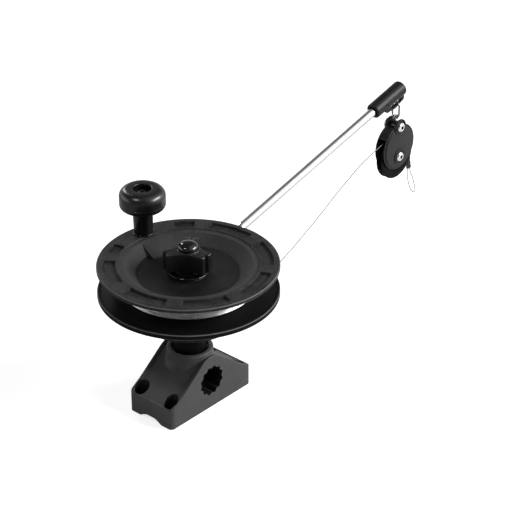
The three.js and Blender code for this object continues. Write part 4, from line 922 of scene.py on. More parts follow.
# Where it leaves the winding: radius, turn in degrees, height and its first straight stretch. Then its route in X, Y
# and Z, and its line's radius over the wheel.
LEAD_RADIUS = 57.15
LEAD_TURN = 16.0
LEAD_HEIGHT = 116.5
LEAD_STRAIGHT = 12.0
RUN_ROUTE = [
    (37.6, 77, 117.4), (32, 97.4, 118.2), (26, 117, 119.1), (20, 137, 120.1), (13.7, 157, 121.3), (7.3, 177.1, 122.6),
    (1, 197.7, 123.9), (-5.2, 218.8, 125.1), (-11.4, 240.4, 126.2), (-16.3, 262, 127), (-20.2, 281, 127.6),
    (-21.4, 290, 128.3),
]
SHEAVE_CABLE_RADIUS = 20.225
CRIMP_TOP = np.array([BOOM_SIDE, 323.6, 97.4])
CRIMP_LENGTH = 11.0
CRIMP_HALF_WIDTH = 1.9
CRIMP_HALF_DEPTH = 2.9
CRIMP_LEAN = math.radians(12.0)
CRIMP_DOWN = np.array([0, math.sin(CRIMP_LEAN), -math.cos(CRIMP_LEAN)])
CRIMP_ASIDE = np.array([0, math.cos(CRIMP_LEAN), math.sin(CRIMP_LEAN)])
# The end loop's route in Y and Z.
LOOP_ROUTE = [
    (328.8, 80.6), (332.4, 73.6), (335.6, 65), (337.4, 58.6), (336.2, 56.4), (333, 58.2), (328.6, 65), (325.4, 74),
    (325, 80.6),
]


def run_path():
    """The cable's line from the winding to the sheave's top, worked out from its route."""
    turn, heading = math.radians(LEAD_TURN), math.radians(LEAD_TURN + 90)
    start = np.array([LEAD_RADIUS * math.cos(turn), LEAD_RADIUS * math.sin(turn), LEAD_HEIGHT])
    straight = start + LEAD_STRAIGHT * np.array([math.cos(heading), math.sin(heading), 0])
    end = np.array([BOOM_SIDE, AXLE[1] - 0.02, AXLE[2] + SHEAVE_CABLE_RADIUS])
    return smooth_line([start, straight, *RUN_ROUTE, end], 220)


def sheave_path():
    """The cable's line over the sheave, a quarter circle, and straight down to the crimp."""
    turn = np.radians(np.linspace(90, 2, 26))
    forward, rise = SHEAVE_CABLE_RADIUS * np.cos(turn), SHEAVE_CABLE_RADIUS * np.sin(turn)
    arc = np.stack([np.full_like(turn, BOOM_SIDE), AXLE[1] + forward, AXLE[2] + rise], -1)
    return smooth_line([*arc, CRIMP_TOP + (0, 0, 0.2)], 70)


def loop_path():
    """The end loop's line, out of the crimp's foot, round and back."""
    foot, half_gap = CRIMP_TOP + CRIMP_DOWN * (CRIMP_LENGTH + 0.1), 1.3
    ends = [foot + (0, half_gap, 0), foot - (0, half_gap, 0)]
    return smooth_line([ends[0], *[(BOOM_SIDE, y, z) for y, z in LOOP_ROUTE], ends[1]], 110)


def crimp_shell():
    """A flattened sleeve: an ellipse carried down a leaning line, drawn in at both ends and at two pinches. Its
    scale along the line is smooth(end distance) less a shallow bell at each pinch."""
    share = np.concatenate([[0], np.linspace(0, 1, 41), [1]])
    rim, narrowing, pinch_length = 0.45, 0.1, 1.3
    edge = smooth(np.minimum(share, 1 - share) * CRIMP_LENGTH / rim + 0.35)
    pinch = sum(np.exp(-(((share - at) * CRIMP_LENGTH / pinch_length) ** 2)) for at in (0.3, 0.7))
    scale = edge * (1 - narrowing * pinch)
    scale[0] = scale[-1] = 0
    turn = ring_turns(48)[None]
    spread = scale[:, None] * (1 + 0.35 * narrowing * pinch[:, None])
    across = CRIMP_HALF_WIDTH * scale[:, None] * np.cos(turn)
    over = CRIMP_HALF_DEPTH * spread * np.sin(turn)
    centre = CRIMP_TOP + share[:, None] * CRIMP_LENGTH * CRIMP_DOWN
    return shell(centre[:, None] + across[..., None] * np.array(ALONG_X) + over[..., None] * CRIMP_ASIDE)


def cable_along(name, line, side, body, node):
    """A cable piece along a line, and its facts: diameter, stiffness, exit, length and path."""
    made = solid(name, swept(line, mm("cable_diameter") / 2, 12, side))
    dress(made, body, "cable_steel", node, sharp=60)
    facts = {"exit": tuple(line[0] * MM), "length": path_length(line) * MM, "path": line * MM}
    return made, {"diameter": sizes().cable_diameter, "stiffness": "stiff", **facts}


def make_cables():
    """The straight run, which turns from the reel to the block's hanger, then the bend with its crimp and the loop."""
    run = run_path()
    made, facts = cable_along("trolling_cable", run, UP, None, "cable_run")
    tuple(run[-1] * MM)
    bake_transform(made)
    crimp = dress(solid("cable_crimp", crimp_shell()), "block", "black_screw", "crimp_sleeve")
    made, facts = cable_along("cable_bend", sheave_path(), ALONG_X, "block", "cable_over_sheave")
    made, facts = cable_along("cable_eye", loop_path(), ALONG_X, "block", "cable_loop")


class DOWNRIGGER_OT_cables(bpy.types.Operator):
    """Makes the cable from the spool over the sheave, with its crimp and end loop"""

    bl_idname = "downrigger.cables"
    bl_label = "Cable run"

    def execute(self, context):
        make_cables()
        return {"FINISHED"}


# Deck bracket.

# The ridge's arc, the collar, the cross hole's axis, the screws' places, the splines, and the rims about each slope's
# recess.
HALF_LENGTH = BRACKET_HIGH[1]
HALF_WIDTH = BRACKET_HIGH[0]
RIDGE_HEIGHT = 49.8
RIDGE_RADIUS = 18.0
COLLAR_TOP = BRACKET_HIGH[2]
COLLAR_RADIUS = 19.9
CROSS_HEIGHT = 26.4
SCREW_SIDE = 17.0
SCREW_FAR = HALF_LENGTH - 8.4
SPLINE_TEETH = 12
SPLINE_ROOT = 12.0
SPLINE_TIP = 13.3
CROSS_TIP = 13.9
SIDE_RIM = 2.8
END_RIM = 1.6
RECESS_DEPTH = 1.3


def roof_line(drop):
    """The bracket's roof from wall to wall in Y and Z: a low wall, a break, a straight flank that touches the ridge's
    arc, and the same back down."""
    centre = RIDGE_HEIGHT - RIDGE_RADIUS
    break_at, break_height = HALF_LENGTH - 13.5, 26.6
    wall, wall_height = HALF_LENGTH - 0.6, 18.6
    reach = math.hypot(break_at, break_height - centre)
    touch = math.atan2(break_height - centre, break_at) + math.acos(RIDGE_RADIUS / reach)
    turn = np.linspace(touch, math.pi - touch, 15)
    arc = polar(RIDGE_RADIUS, turn) + (0, centre)
    up, down = [(wall, wall_height), (break_at, break_height)], [(-break_at, break_height), (-wall, wall_height)]
    return np.vstack([up, arc, down]) - (0, drop)


def saw(turn):
    """0 at each tooth's root and 1 at its tip, by the turn."""
    return 1 - np.abs(2 * ((turn * SPLINE_TEETH / TURN) % 1) - 1)


def spline_outline(tip, cut=0.12):
    """Pointed teeth: the radius is root + (tip - root) times the saw, both ends of which are cut off by a share."""
    turn = ring_turns(SPLINE_TEETH * 10)
    return polar(SPLINE_ROOT + (tip - SPLINE_ROOT) * np.clip(saw(turn) * (1 + 2 * cut) - cut, 0, 1), turn)


def wedge():
    """The bracket's body: the roof line carried across, kept within a block with rounded upright corners."""
    floor = np.array([(-HALF_LENGTH, 0.0), (HALF_LENGTH, 0.0)])
    made = solid("wedge", about_x(slab(np.vstack([floor, roof_line(0)]), -HALF_WIDTH, HALF_WIDTH)))
    plan = rectangle((-HALF_WIDTH, -HALF_LENGTH), (HALF_WIDTH, HALF_LENGTH), mm("bracket_round"), arc_steps=9)
    return carved(made, solid("upright", slab(plan, -1, RIDGE_HEIGHT + 5)), operation="INTERSECT")


def slope_recess():
    """What is taken off both slopes inside their rims."""
    half, end = HALF_WIDTH - SIDE_RIM, HALF_LENGTH - END_RIM
    roof = roof_line(RECESS_DEPTH)
    inner = roof[np.abs(roof[:, 0]) < end - 0.2]
    slope = (roof[1, 1] - roof[0, 1]) / (roof[1, 0] - roof[0, 0])
    edge = roof[0, 1] + slope * (end - roof[0, 0])
    high = RIDGE_HEIGHT + 8
    outline = np.vstack([(end, high), (end, edge), inner, (-end, edge), (-end, high)])
    return solid("recess", about_x(slab(outline, -half, half)))


def bracket_tools():
    """The pieces cut out of the bracket before its edges are softened."""
    screw = [(0, -3), (2.9, -3), (2.9, 6.4), (3.5, 7.0), (6.2, 7.0), (6.35, 60), (0, 60)]
    tools = []
    for sx, sy in ((-1, -1), (-1, 1), (1, -1), (1, 1)):
        tools.append(solid("hole", moved(lathe(screw, 48), (sx * SCREW_SIDE, sy * SCREW_FAR, 0))))
        low, high = zip(sorted((sx * 1.5, sx * (HALF_WIDTH - 4.0))), sorted((sy * 19.3, sy * 32.5)))
        tools.append(solid("pocket", slab(rectangle(low, high, 1.5), -3.0, 18.0)))
    half = [(12.0, 0.0, 2.5), (8.0, 2.3, 2.2), (4.5, 3.5, 2.0)]
    arch = rounded([(-15, -3), (15, -3), *half, *[(-x, y, radius) for x, y, radius in half[::-1]]])
    notch = about_y(spun(slab(arch, HALF_LENGTH - 9.0, HALF_LENGTH + 3.0), 180))
    tools += [solid("notch", spun(notch, end)) for end in (0, 180)]
    mouth = [(0, COLLAR_TOP - 3), (15.6, COLLAR_TOP - 3), (15.6, COLLAR_TOP - 0.7), (16.5, COLLAR_TOP + 0.3)]
    tools.append(solid("mouth", lathe(mouth + [(16.5, COLLAR_TOP + 4), (0, COLLAR_TOP + 4)], 96)))
    return tools


def make_bracket():
    """The wedge with its slopes let in, joined by the flared collar, cut, softened and then splined."""
    body = wedge()
    carved(body, slope_recess())
    flare_foot, flare_top = COLLAR_TOP - 14.0, COLLAR_TOP - 8.0
    collar = [(0, 8), (COLLAR_RADIUS + 2.4, 8), (COLLAR_RADIUS + 2.4, flare_foot, 4), (COLLAR_RADIUS, flare_top, 6)]
    collar += [(COLLAR_RADIUS, COLLAR_TOP, 1.3), (0, COLLAR_TOP)]
    within = block((-HALF_WIDTH, -HALF_LENGTH, 0), (HALF_WIDTH, HALF_LENGTH, COLLAR_TOP + 1))
    ring = carved(solid("collar", lathe(collar, 96)), solid("within", within), operation="INTERSECT")
    carved(body, ring, operation="UNION")
    carved(body, *bracket_tools())
    moulded_edges(body, 0.42, 5, 0.3)
    socket = slab(spline_outline(SPLINE_TIP), 6.0, COLLAR_TOP - 2.0)
    cross = about_x(slab(spline_outline(CROSS_TIP, 0.02), -HALF_WIDTH - 2, HALF_WIDTH + 2))
    carved(body, solid("socket", socket), solid("cross", moved(cross, (0, 0, CROSS_HEIGHT))))
    body.name = "bracket_body"
    dress(body, "bracket", "bracket_nylon", "deck_bracket", sharp=48)


class DOWNRIGGER_OT_bracket(bpy.types.Operator):
    """Makes the moulded deck bracket with its collar and splined holes"""

    bl_idname = "downrigger.bracket"
    bl_label = "Deck bracket"

    def execute(self, context):
        make_bracket()
        return {"FINISHED"}


# Post and reel frame.

# Levels and radii of the pan, its brake wall, its boss and its bore, and the turn of its groove in degrees.
PAN_BOTTOM = 80.0
PAN_RADIUS = 44.0
PAN_TOP = 101.5
BRAKE_TOP = 98.5
BRAKE_OUTER = 37.0
BRAKE_INNER = 31.0
BOSS_TOP = 90.0
BOSS_RADIUS = 13.0
BORE_RADIUS = 4.3
TICK_TURN = -33.0


def make_post():
    """The splined post: a profile whose toothed part changes its radius with the turn, under a plain flared neck."""
    foot, neck, web, top = 6.3, 48.8, 66, PAN_BOTTOM - 0.3
    hollow, root, lip, shaft, flare, tooth = 8.6, 11.7, 12.6, 13.6, 17, 1.3
    corners = [(hollow, foot), (root, foot, 0.6), (root, neck - 0.01), (lip, neck), (shaft, neck + 1, 0.8)]
    corners += [(shaft, top - 7, 4), (flare, top - 0.4, 0.8), (flare, top)]
    corners += [(BORE_RADIUS, top), (BORE_RADIUS, web), (hollow, web)]
    outline = rounded(corners)

    def toothed(radius, height, angle):
        """Adds the teeth to the outer wall below the neck."""
        teeth = tooth * np.clip(saw(angle) * 1.25 - 0.12, 0, 1)
        return radius + teeth * ((radius > hollow + 1) & (height < neck - 0.005))

    made = solid("post", shell(turned(outline, 240, toothed), close_rows=True))
    # The post takes the reel's nylon made darker: painted shade under the pan.
    dress(made, "reel", "reel_nylon", "splined_post", paint="flange_black")


def pan_profile():
    """The pan's section: floor, outer wall with a rolled foot, brake wall and centre boss."""
    floor, wall = PAN_BOTTOM + 4, PAN_RADIUS - 3
    outer = [(BORE_RADIUS, PAN_BOTTOM), (PAN_RADIUS - 0.2, PAN_BOTTOM, 2.2), (PAN_RADIUS, PAN_TOP - 2.2, 0.3)]
    inner = [(PAN_RADIUS, PAN_TOP, 0.5), (wall, PAN_TOP, 0.5), (wall, floor, 1.2)]
    brake = [(BRAKE_OUTER, floor, 1), (BRAKE_OUTER, BRAKE_TOP, 0.4), (BRAKE_INNER, BRAKE_TOP, 0.4)]
    boss = [(BRAKE_INNER, floor, 1), (BOSS_RADIUS, floor, 1), (BOSS_RADIUS, BOSS_TOP, 0.6), (BORE_RADIUS, BOSS_TOP)]
    return outer + inner + brake + boss


def make_pan():
    """The round pan under the spool. One upright groove is let into its wall: the outer radius drops by a bell."""
    groove_depth, groove_half, rib_half, rib_top = 0.7, 0.9, 1.2, 92

    def off_tick(angle):
        """The turn past the groove's middle, from -pi to pi."""
        return (angle - np.radians(TICK_TURN) + math.pi) % TURN - math.pi

    def ticked(radius, height, angle):
        """Takes the groove off the outer wall."""
        depth = groove_depth * (1 - smooth(np.abs(off_tick(angle) * PAN_RADIUS) / groove_half - 0.2))
        wall = smooth((height - PAN_BOTTOM - 1.5) / 0.8) * smooth((PAN_TOP - 1.8 - height) / 0.8)
        return radius - depth * wall * (radius > PAN_RADIUS - 1)

    fine = np.radians(TICK_TURN + np.linspace(-2.4, 2.4, 25))
    coarse = ring_turns(168)
    turns = np.sort(np.concatenate([fine % TURN, coarse[np.abs(off_tick(coarse)) > np.radians(2.6)]]))
    outline = refined(rounded(pan_profile(), 6), 2.0)
    pan = shell(turned(outline, turns, ticked), close_rows=True)
    ribs = [
        spun(block((inner, -rib_half, PAN_BOTTOM + 2), (outer, rib_half, rib_top)), turn)
        for turn in range(0, 360, 60)
        for inner, outer in ((12.6, 31.2), (36.8, 41.2))
    ]
    dress(solid("pan", pan, *ribs), "reel", "reel_nylon", "frame_base")


def make_clamp():
    """The arm, a channel open below, and the split boss that holds the boom's leg."""
    x, y = BOOM_SIDE, BOOM_LEG
    turn, reach = math.atan2(y, x), math.hypot(x, y)
    half, low, high, wall, ear, slit = 10.0, 83.0, 99.5, 3.0, 8.0, 0.8
    bar = about_x(slab(rectangle((-half, low), (half, high), 0.8, 1.6), PAN_RADIUS - 3.5, reach))
    inside = rectangle((wall - half, low - wall), (half - wall, high - wall), 0, 1.5)
    hollow = about_x(slab(inside, PAN_RADIUS + wall, reach - half))
    body = carved(solid("arm", bar), solid("hollow", hollow))
    body.data.transform(Matrix.Rotation(turn, 4, "Z"))
    boss = moved(washer(0, half, 77, 102, 1.2, 1.2, 72), (x, y, 0))
    ears = slab(rectangle((x - ear, y), (x + ear, y + 20), 0, 3), 82, 99, 0.8)
    carved(body, solid("boss", boss), solid("ears", ears), operation="UNION")
    bore = pillar(BOOM_RADIUS + 0.3, 80, 106, (x, y))
    cut = block((x - slit, y, 80), (x + slit, y + 24, 106))
    screw = about_x(pillar(2.8, -12, 12, turns=32), (x, y + 14.4, 90.5))
    carved(body, solid("bore", bore), solid("slit", cut), solid("screw", screw))
    moulded_edges(body, 0.45, 4, 0.35)
    body.name = "boom_clamp"
    dress(body, "reel", "reel_nylon", "frame_base", sharp=48)


class DOWNRIGGER_OT_reel_frame(bpy.types.Operator):
    """Makes the splined post, the pan and the boom's clamp"""

    bl_idname = "downrigger.reel_frame"
    bl_label = "Post and reel frame"

    def execute(self, context):
        make_post()
        make_pan()
        make_clamp()
        return {"FINISHED"}


# Boom.

BOOM_RADIUS = 3.95
BEND_RADIUS = 12.0
TIP_LENGTH = 42.2
TIP_RADIUS = 7.15
TIP_BORE_DEPTH = 34.0


def boom_path():
    """The rod's line: up its leg, round the bend and straight on at the boom's rise."""
    turn = math.pi / 2 - BOOM_ANGLE
    corner = BOOM_HEIGHT + BOOM_RISE * BOOM_LEG
    centre = (BOOM_LEG + BEND_RADIUS, corner - BEND_RADIUS * math.tan(turn / 2))
    sweep = np.linspace(math.pi, math.pi - turn, 31)
    bend = polar(BEND_RADIUS, sweep) + centre
    reach = TIP_BORE_DEPTH - 0.3
    end = (TIP_NEAR + reach * math.cos(BOOM_ANGLE), BOOM_HEIGHT + BOOM_RISE * TIP_NEAR + reach * math.sin(BOOM_ANGLE))
    line = np.vstack([(BOOM_LEG, 80.3), (BOOM_LEG, 80.8), bend, end])
    return np.concatenate([np.full((len(line), 1), BOOM_SIDE), line], -1)


def make_rod():
    """The bent rod, a little narrower at its foot."""
    path = boom_path()
    radius = np.full(len(path), BOOM_RADIUS)
    radius[0] = BOOM_RADIUS - 0.5
    dress(solid("boom_tube", swept(path, radius, 56, ALONG_X)), "reel", "stainless", "boom_rod", sharp=50)


def make_tip():
    """The sleeve with a domed end, and under it the slotted rail, joined as one moulding."""
    sleeve = [(0, 0), (TIP_RADIUS, 0, 0.9), (TIP_RADIUS, TIP_LENGTH - 0.2, 2.4), (0, TIP_LENGTH + 0.35)]
    body = solid("sleeve", raised(about_y(lathe(sleeve, 96, 8))))
    lobe, far, belly = 17.9, TIP_LENGTH - 1.7, -14.9 - 0.1
    middle = (lobe + far) / 2
    ends = [
        [(at + s * 2.3, -3, 1), (at + s * 2.3, -13.1, 3.2), (at - s * 4.0, -13.6, 3), (middle + s * 2, belly, 9)]
        for at, s in ((far, 1), (lobe, -1))
    ]
    rail = about_x(slab(rounded(ends[0] + ends[1][::-1], 8), -1.6, 1.6))
    start, length, top, height = 23.4, 15.2, 7.7, 4.7
    slot = rectangle((start, -top - height), (start + length, -top), 2.2, arc_steps=7)
    carved(body, solid("rail", raised(rail)), operation="UNION")
    bore = about_y(pillar(4.9, -2, TIP_BORE_DEPTH))
    pin = moved(about_x(pillar(1.8, 0, 12, turns=32)), (0, 12, 0))
    tools = [solid("slot", raised(about_x(slab(slot, -4, 4)))), solid("bore", raised(bore))]
    carved(body, *tools, solid("pin", raised(pin)))
    moulded_edges(body, 0.3, 5, 0.45)
    body.name = "tip_sleeve"
    dress(body, "reel", "tip_plastic", "boom_tip", sharp=48)


class DOWNRIGGER_OT_boom(bpy.types.Operator):
    """Makes the bent boom rod and the moulded tip with its eye rail"""

    bl_idname = "downrigger.boom"
    bl_label = "Boom"

    def execute(self, context):
        make_rod()
        make_tip()
        return {"FINISHED"}


# Spool.

# Levels and radii of the upper flange's plate, step and dish, of the joint and of the drum, then the pockets, and the
# turn of the crank's ramp with half the span of its land, in degrees.
PLATE_TOP = SPOOL_HIGH[2]
DISH_RIM = 58.2
DISH_LEDGE = 53.8
LEDGE_TOP = 130.5
DISH_FLOOR = 43.0
DISH_LEVEL = 122.0
JOINT_LEVEL = 119.0
SPOOL_BORE = 7.0
DRUM_RADIUS = 46.0
DRUM_INNER = 43.0
WEB_LEVEL = 105.6
POCKET_INNER = 60.2
POCKET_OUTER = 70.8
POCKET_DEPTH = 2.0
RAMP_TURN = 169.3
RAMP_LAND = 25.4


def pocket_spans():
    """The pockets' first and last turns in degrees. Those beside the crank stop short of its land."""
    middle = 10.5 + np.arange(8) * 45.0
    first, last = middle - 17, middle + 17
    low, high = RAMP_TURN - RAMP_LAND, RAMP_TURN + RAMP_LAND
    inside = (first < RAMP_TURN) & (last > RAMP_TURN)
    before = (last > low) & (last < RAMP_TURN)
    after = (first < high) & (first > RAMP_TURN)
    first = np.where(inside | after, high, first)
    last = np.where(before, low, last)
    return first, last


def pocket_depth(radius, degrees):
    """How deep the plate is let in: a rounded box measured along and across the ring, stepped over its edge."""
    first, last = pocket_spans()
    half_width = (POCKET_OUTER - POCKET_INNER) / 2
    corner, edge = 1.6, 0.55
    depth = 0 * (radius + degrees)
    for start, end in zip(first, last):
        centre, half_span = (start + end) / 2, (end - start) / 2
        off = (degrees - centre + 180) % 360 - 180
        along = np.abs(np.radians(off)) * radius - (np.radians(half_span) * radius - corner)
        across = np.abs(radius - (POCKET_INNER + POCKET_OUTER) / 2) - (half_width - corner)
        outside = np.hypot(np.maximum(along, 0), np.maximum(across, 0))
        distance = outside + np.minimum(np.maximum(along, across), 0) - corner
        depth = np.maximum(depth, smooth(-distance / edge))
    return POCKET_DEPTH * depth


def flange_turns():
    """Turns round the upper flange, closer together at the pockets' ends."""
    first, last = pocket_spans()
    near = np.linspace(-0.4, 2.2, 15)
    fine = np.concatenate([(start + near) for start in first] + [(end - near) for end in last]) % 360
    coarse = np.arange(0, 360, 2.5)
    gap = np.min(np.abs((coarse[:, None] - fine[None] + 180) % 360 - 180), 1)
    return np.sort(np.concatenate([fine, coarse[gap > 0.4]]))


def upper_profile():
    """The upper flange's section: flat hub, cone and plate below, rolled rim, plate, step and dish above."""
    rim, edge, top, low = mm("spool_radius"), mm("rim_round"), PLATE_TOP, 127.9
    below = [(SPOOL_BORE, JOINT_LEVEL), (44.2, JOINT_LEVEL, 0.6), (59.1, 127.6, 1.5)]
    rolled = [(rim - 3.0, 128.3, 0.4), (rim - 2.6, low, 0.3), (rim, low, edge), (rim, top, edge)]
    step = [(DISH_RIM + 0.4, top, 0.35), (DISH_RIM, LEDGE_TOP, 0.3), (DISH_LEDGE, LEDGE_TOP, 0.7)]
    return rounded(below + rolled + step + [(DISH_FLOOR, DISH_LEVEL, 2.2), (SPOOL_BORE, DISH_LEVEL)], 5)


def pocket_rows(outline):
    """The same section with extra places across the plate at the pockets' edges."""
    near = np.linspace(-0.25, 2.0, 12)
    radii = np.concatenate([POCKET_OUTER - near, [68, 66, 64.5], (POCKET_INNER + near)[::-1]])
    extra = np.stack([radii, np.full_like(radii, PLATE_TOP)], -1)
    flat = np.abs(outline[:, 1] - PLATE_TOP) < 1e-6
    last_outer = np.nonzero(flat & (outline[:, 0] > POCKET_OUTER))[0][-1]
    return np.insert(outline, last_outer + 1, extra, axis=0)


def make_upper_flange():
    """The dished flange: its turned section less the pockets."""
    outline = pocket_rows(upper_profile())
    degrees = flange_turns()
    points = turned(outline, np.radians(degrees))
    radius = outline[:, 0][:, None]
    on_plate = (np.abs(outline[:, 1] - PLATE_TOP) < 1e-6)[:, None]
    points[..., 2] -= np.where(on_plate, pocket_depth(radius, degrees[None]), 0)
    made = solid("upper_flange", shell(points, close_rows=True))
    dress(made, "spool", "reel_nylon", "spool_upper_flange", sharp=40)


def make_ramp():
    """The raised land that carries the crank: a wedge from the plate down to the dish's floor."""
    foot, ledge = 34.0, DISH_LEDGE + 0.2
    slope = [(foot - 1.5, DISH_LEVEL - 0.2), (foot, 122.15, 2.0), (ledge, LEDGE_TOP + 0.05, 0.6)]
    outline = rounded(slope + [(ledge + 2, 129), (44, 121), (33, 121)], 6)
    made = solid("crank_ramp", spun(about_x(slab(outline, -10.5, 10.5, 0.45)), RAMP_TURN - 90))
    dress(made, "spool", "reel_nylon", "spool_upper_flange")


def make_lower_flange():
    """The lower flange's section: flat hub, cone and rolled rim below, plate and drum above, web and bore inside."""
    rim, edge, foot, drum_top = mm("spool_radius"), mm("rim_round"), DRUM_RADIUS + 10, JOINT_LEVEL - 0.3
    bottom, cone, low, plate, shelf = 102.1, 106.9, 102.9, 107.5, 110.2
    below = [(SPOOL_BORE, bottom), (44.8, bottom, 0.8), (DRUM_RADIUS, cone, 1.5), (foot, cone, 1.5)]
    rolled = [(rim - 3.0, low + 0.5, 0.4), (rim - 2.6, low, 0.3), (rim, low, edge), (rim, plate, edge)]
    above = [(rim - 2.5, plate, 0.35), (rim - 2.9, plate - 0.5, 0.3), (foot, shelf, 1.0), (DRUM_RADIUS, shelf, 0.5)]
    drum = [(DRUM_RADIUS, drum_top, 0.4), (DRUM_INNER, drum_top, 0.4), (DRUM_INNER, WEB_LEVEL, 1)]
    bore = [(12, WEB_LEVEL, 1), (12, drum_top, 0.4), (SPOOL_BORE, drum_top)]
    corners = below + rolled + above + drum + bore
    made = solid("lower_flange", lathe(corners, 224, 6))
    # The lower flange takes the reel's nylon made darker: painted shade under the upper flange.
    dress(made, "spool", "reel_nylon", "spool_lower_flange", sharp=40, paint="flange_black")


class DOWNRIGGER_OT_spool(bpy.types.Operator):
    """Makes both spool flanges and the land that carries the crank"""

    bl_idname = "downrigger.spool"
    bl_label = "Spool"

    def execute(self, context):
        make_lower_flange()
        make_upper_flange()
        make_ramp()
        return {"FINISHED"}


# Wound cable.

WINDING_RADIUS = 56.0
WINDING_BOTTOM = 110.95
WINDING_TOP = 124.5


def winding_path():
    """One unbroken line up the drum: height rises evenly with the turn, with a slow waver of a few hundredths."""
    turns = sizes().winding_turns + 0.5
    share = np.linspace(0, 1, int(turns * 110))
    turn = np.radians(LEAD_TURN) + (share - 1) * turns * TURN
    waver = 0.035 * np.sin(turn * 1.37 + 0.6) + 0.03 * np.sin(turn * 3.11)
    radius = WINDING_RADIUS + 0.05 * np.sin(turn * 2.3) + 0.035 * np.sin(turn * 5.7 + 1)
    height = WINDING_BOTTOM + (WINDING_TOP - WINDING_BOTTOM) * share + waver * np.sin(share * math.pi)
    return polar(radius, turn, height)


def make_winding():
    """The outer layer: a round section carried up the winding's line."""
    made = solid("wound_cable", swept(winding_path(), mm("cable_diameter") / 2, 10, UP))
    # The wound cable is made brighter than the run: painted light under the flange's overhang.
    dress(made, "spool", "cable_steel", "cable_winding", sharp=60, paint="cable_wound")


def make_core():
    """The layers beneath: a drum whose outer face is ribbed at the cable's pitch, between its two end faces."""
    pitch = (WINDING_TOP - WINDING_BOTTOM) / (sizes().winding_turns + 0.5)
    height = np.arange(WINDING_BOTTOM - 0.2, WINDING_TOP - 0.6, pitch / 6)
    radius = 55.25 + 0.16 * np.cos((height - WINDING_BOTTOM) / pitch * TURN + math.pi)
    outline = np.vstack([(46.3, 110.6), np.stack([radius, height], -1), (46.3, 119.0)])
    made = solid("inner_layers", shell(turned(outline, 180), close_rows=True))
    # The layers beneath are made darker than the cable: painted shade.
    dress(made, "spool", "cable_steel", "cable_core", paint="cable_shade")


class DOWNRIGGER_OT_winding(bpy.types.Operator):
    """Makes the cable wound on the spool"""

    bl_idname = "downrigger.winding"
    bl_label = "Wound cable"

    def execute(self, context):
        make_core()
        make_winding()
        return {"FINISHED"}


# Crank.

KNOB_RADIUS = 19.75
KNOB_BOTTOM, KNOB_TOP = levels_mm("crank_knob")
STEM_BOTTOM, JOURNAL_TOP = levels_mm("handle_stem")
STEM_BORE = 2.8
KNOB_BORE = 5.8
HEX_RADIUS = 1.7
SHANK_RADIUS = 2.5


def hex_reach(angle, flat):
    """The radius of a hexagon with the given half width, by the turn."""
    return flat / np.cos((angle + math.pi / 6) % (math.pi / 3) - math.pi / 6)


def button_head(radius, height, seat, shank_end, depth=1.4):
    """A round-topped screw: a domed section whose inner rows follow a hexagon, which sinks the socket."""
    foot, crown = seat + shank_end, seat + height
    corners = [
        (0, foot),
        (SHANK_RADIUS, foot, 0.2),
        (SHANK_RADIUS, seat),
        (radius, seat, 0.15),
        (radius, seat + height * 0.38, 0.5),
        (radius * 0.86, seat + height * 0.78, 1.2),
        (HEX_RADIUS + 0.75, crown, 0.8),
        (HEX_RADIUS + 0.12, crown, 0.1),
    ]
    dome = rounded(corners, 5)
    dome = np.roll(dome, -np.argmin(np.hypot(dome[:, 0], dome[:, 1] - foot)), 0)
    angle = ring_turns(72)
    reach = hex_reach(angle, HEX_RADIUS * math.cos(math.pi / 6))
    rows = [(1.0, crown - 0.12), (1.0, crown - depth), (0.02, crown - depth - 0.25), (0, crown - depth - 0.25)]
    inner = [polar(share * reach, angle, level) for share, level in rows]
    return shell(np.concatenate([turned(dome, angle), np.array(inner)]))


def hex_nut(across, low, high, bore):
    """A nut: a hexagon whose corners are turned down at both ends, where its reach is the lesser of the hexagon's and
    a cone's."""
    count = 96
    angle = ring_turns(count)
    corner = across / math.cos(math.pi / 6)
    heights = np.array([low, low + 0.35, low + 0.7, high - 0.7, high - 0.35, high])
    cone = np.array([across - 0.1, corner - 0.3, corner + 1, corner + 1, corner - 0.3, across - 0.1])
    outer = np.minimum(hex_reach(angle, across)[None], cone[:, None])
    mouth, thread = np.full((1, count), bore + 0.3), np.full((2, count), bore)
    radius = np.concatenate([mouth, outer, mouth, thread])
    level = np.concatenate([[low], heights, [high], [high - 0.3, low + 0.3]])[:, None]
    return shell(polar(radius, angle, level), close_rows=True)


def at_stem(made):
    """A shell made about Z, set off to the crank's axis."""
    return moved(made, (STEM[0], STEM[1], 0))


def make_stem():
    """The tapered stem, the thin ring that it stands on, and the journal inside the knob."""
    ring = washer(STEM_BORE, 8.8, 131.7, 132.9, 0.3, 0.35)
    dress(solid("stem_seat", at_stem(ring)), "spool", "clutch_black", "stem_ring", paint="cap_gloss")
    low, shoulder, journal = STEM_BOTTOM, KNOB_BOTTOM - 0.3, KNOB_BORE - 0.3
    stem = [(STEM_BORE, low), (8.05, low, 0.6), (8.1, low + 2.3, 2), (8.85, shoulder, 0.4)]
    stem += [(journal, shoulder), (journal, JOURNAL_TOP, 0.3), (STEM_BORE, JOURNAL_TOP)]
    dress(solid("crank_stem", at_stem(lathe(stem, 112))), "spool", "gloss_black", "handle_stem")
    seat = JOURNAL_TOP + 0.3
    flat_ring = washer(STEM_BORE, 7.2, seat, seat + 1, 0.25, 0.3)
    dress(solid("knob_washer", at_stem(flat_ring)), "spool", "black_screw", "handle_washer")
    screw = button_head(4.3, 3.0, seat + 1.3, -38.0)
    dress(solid("knob_screw", at_stem(screw)), "spool", "black_screw", "handle_screw")


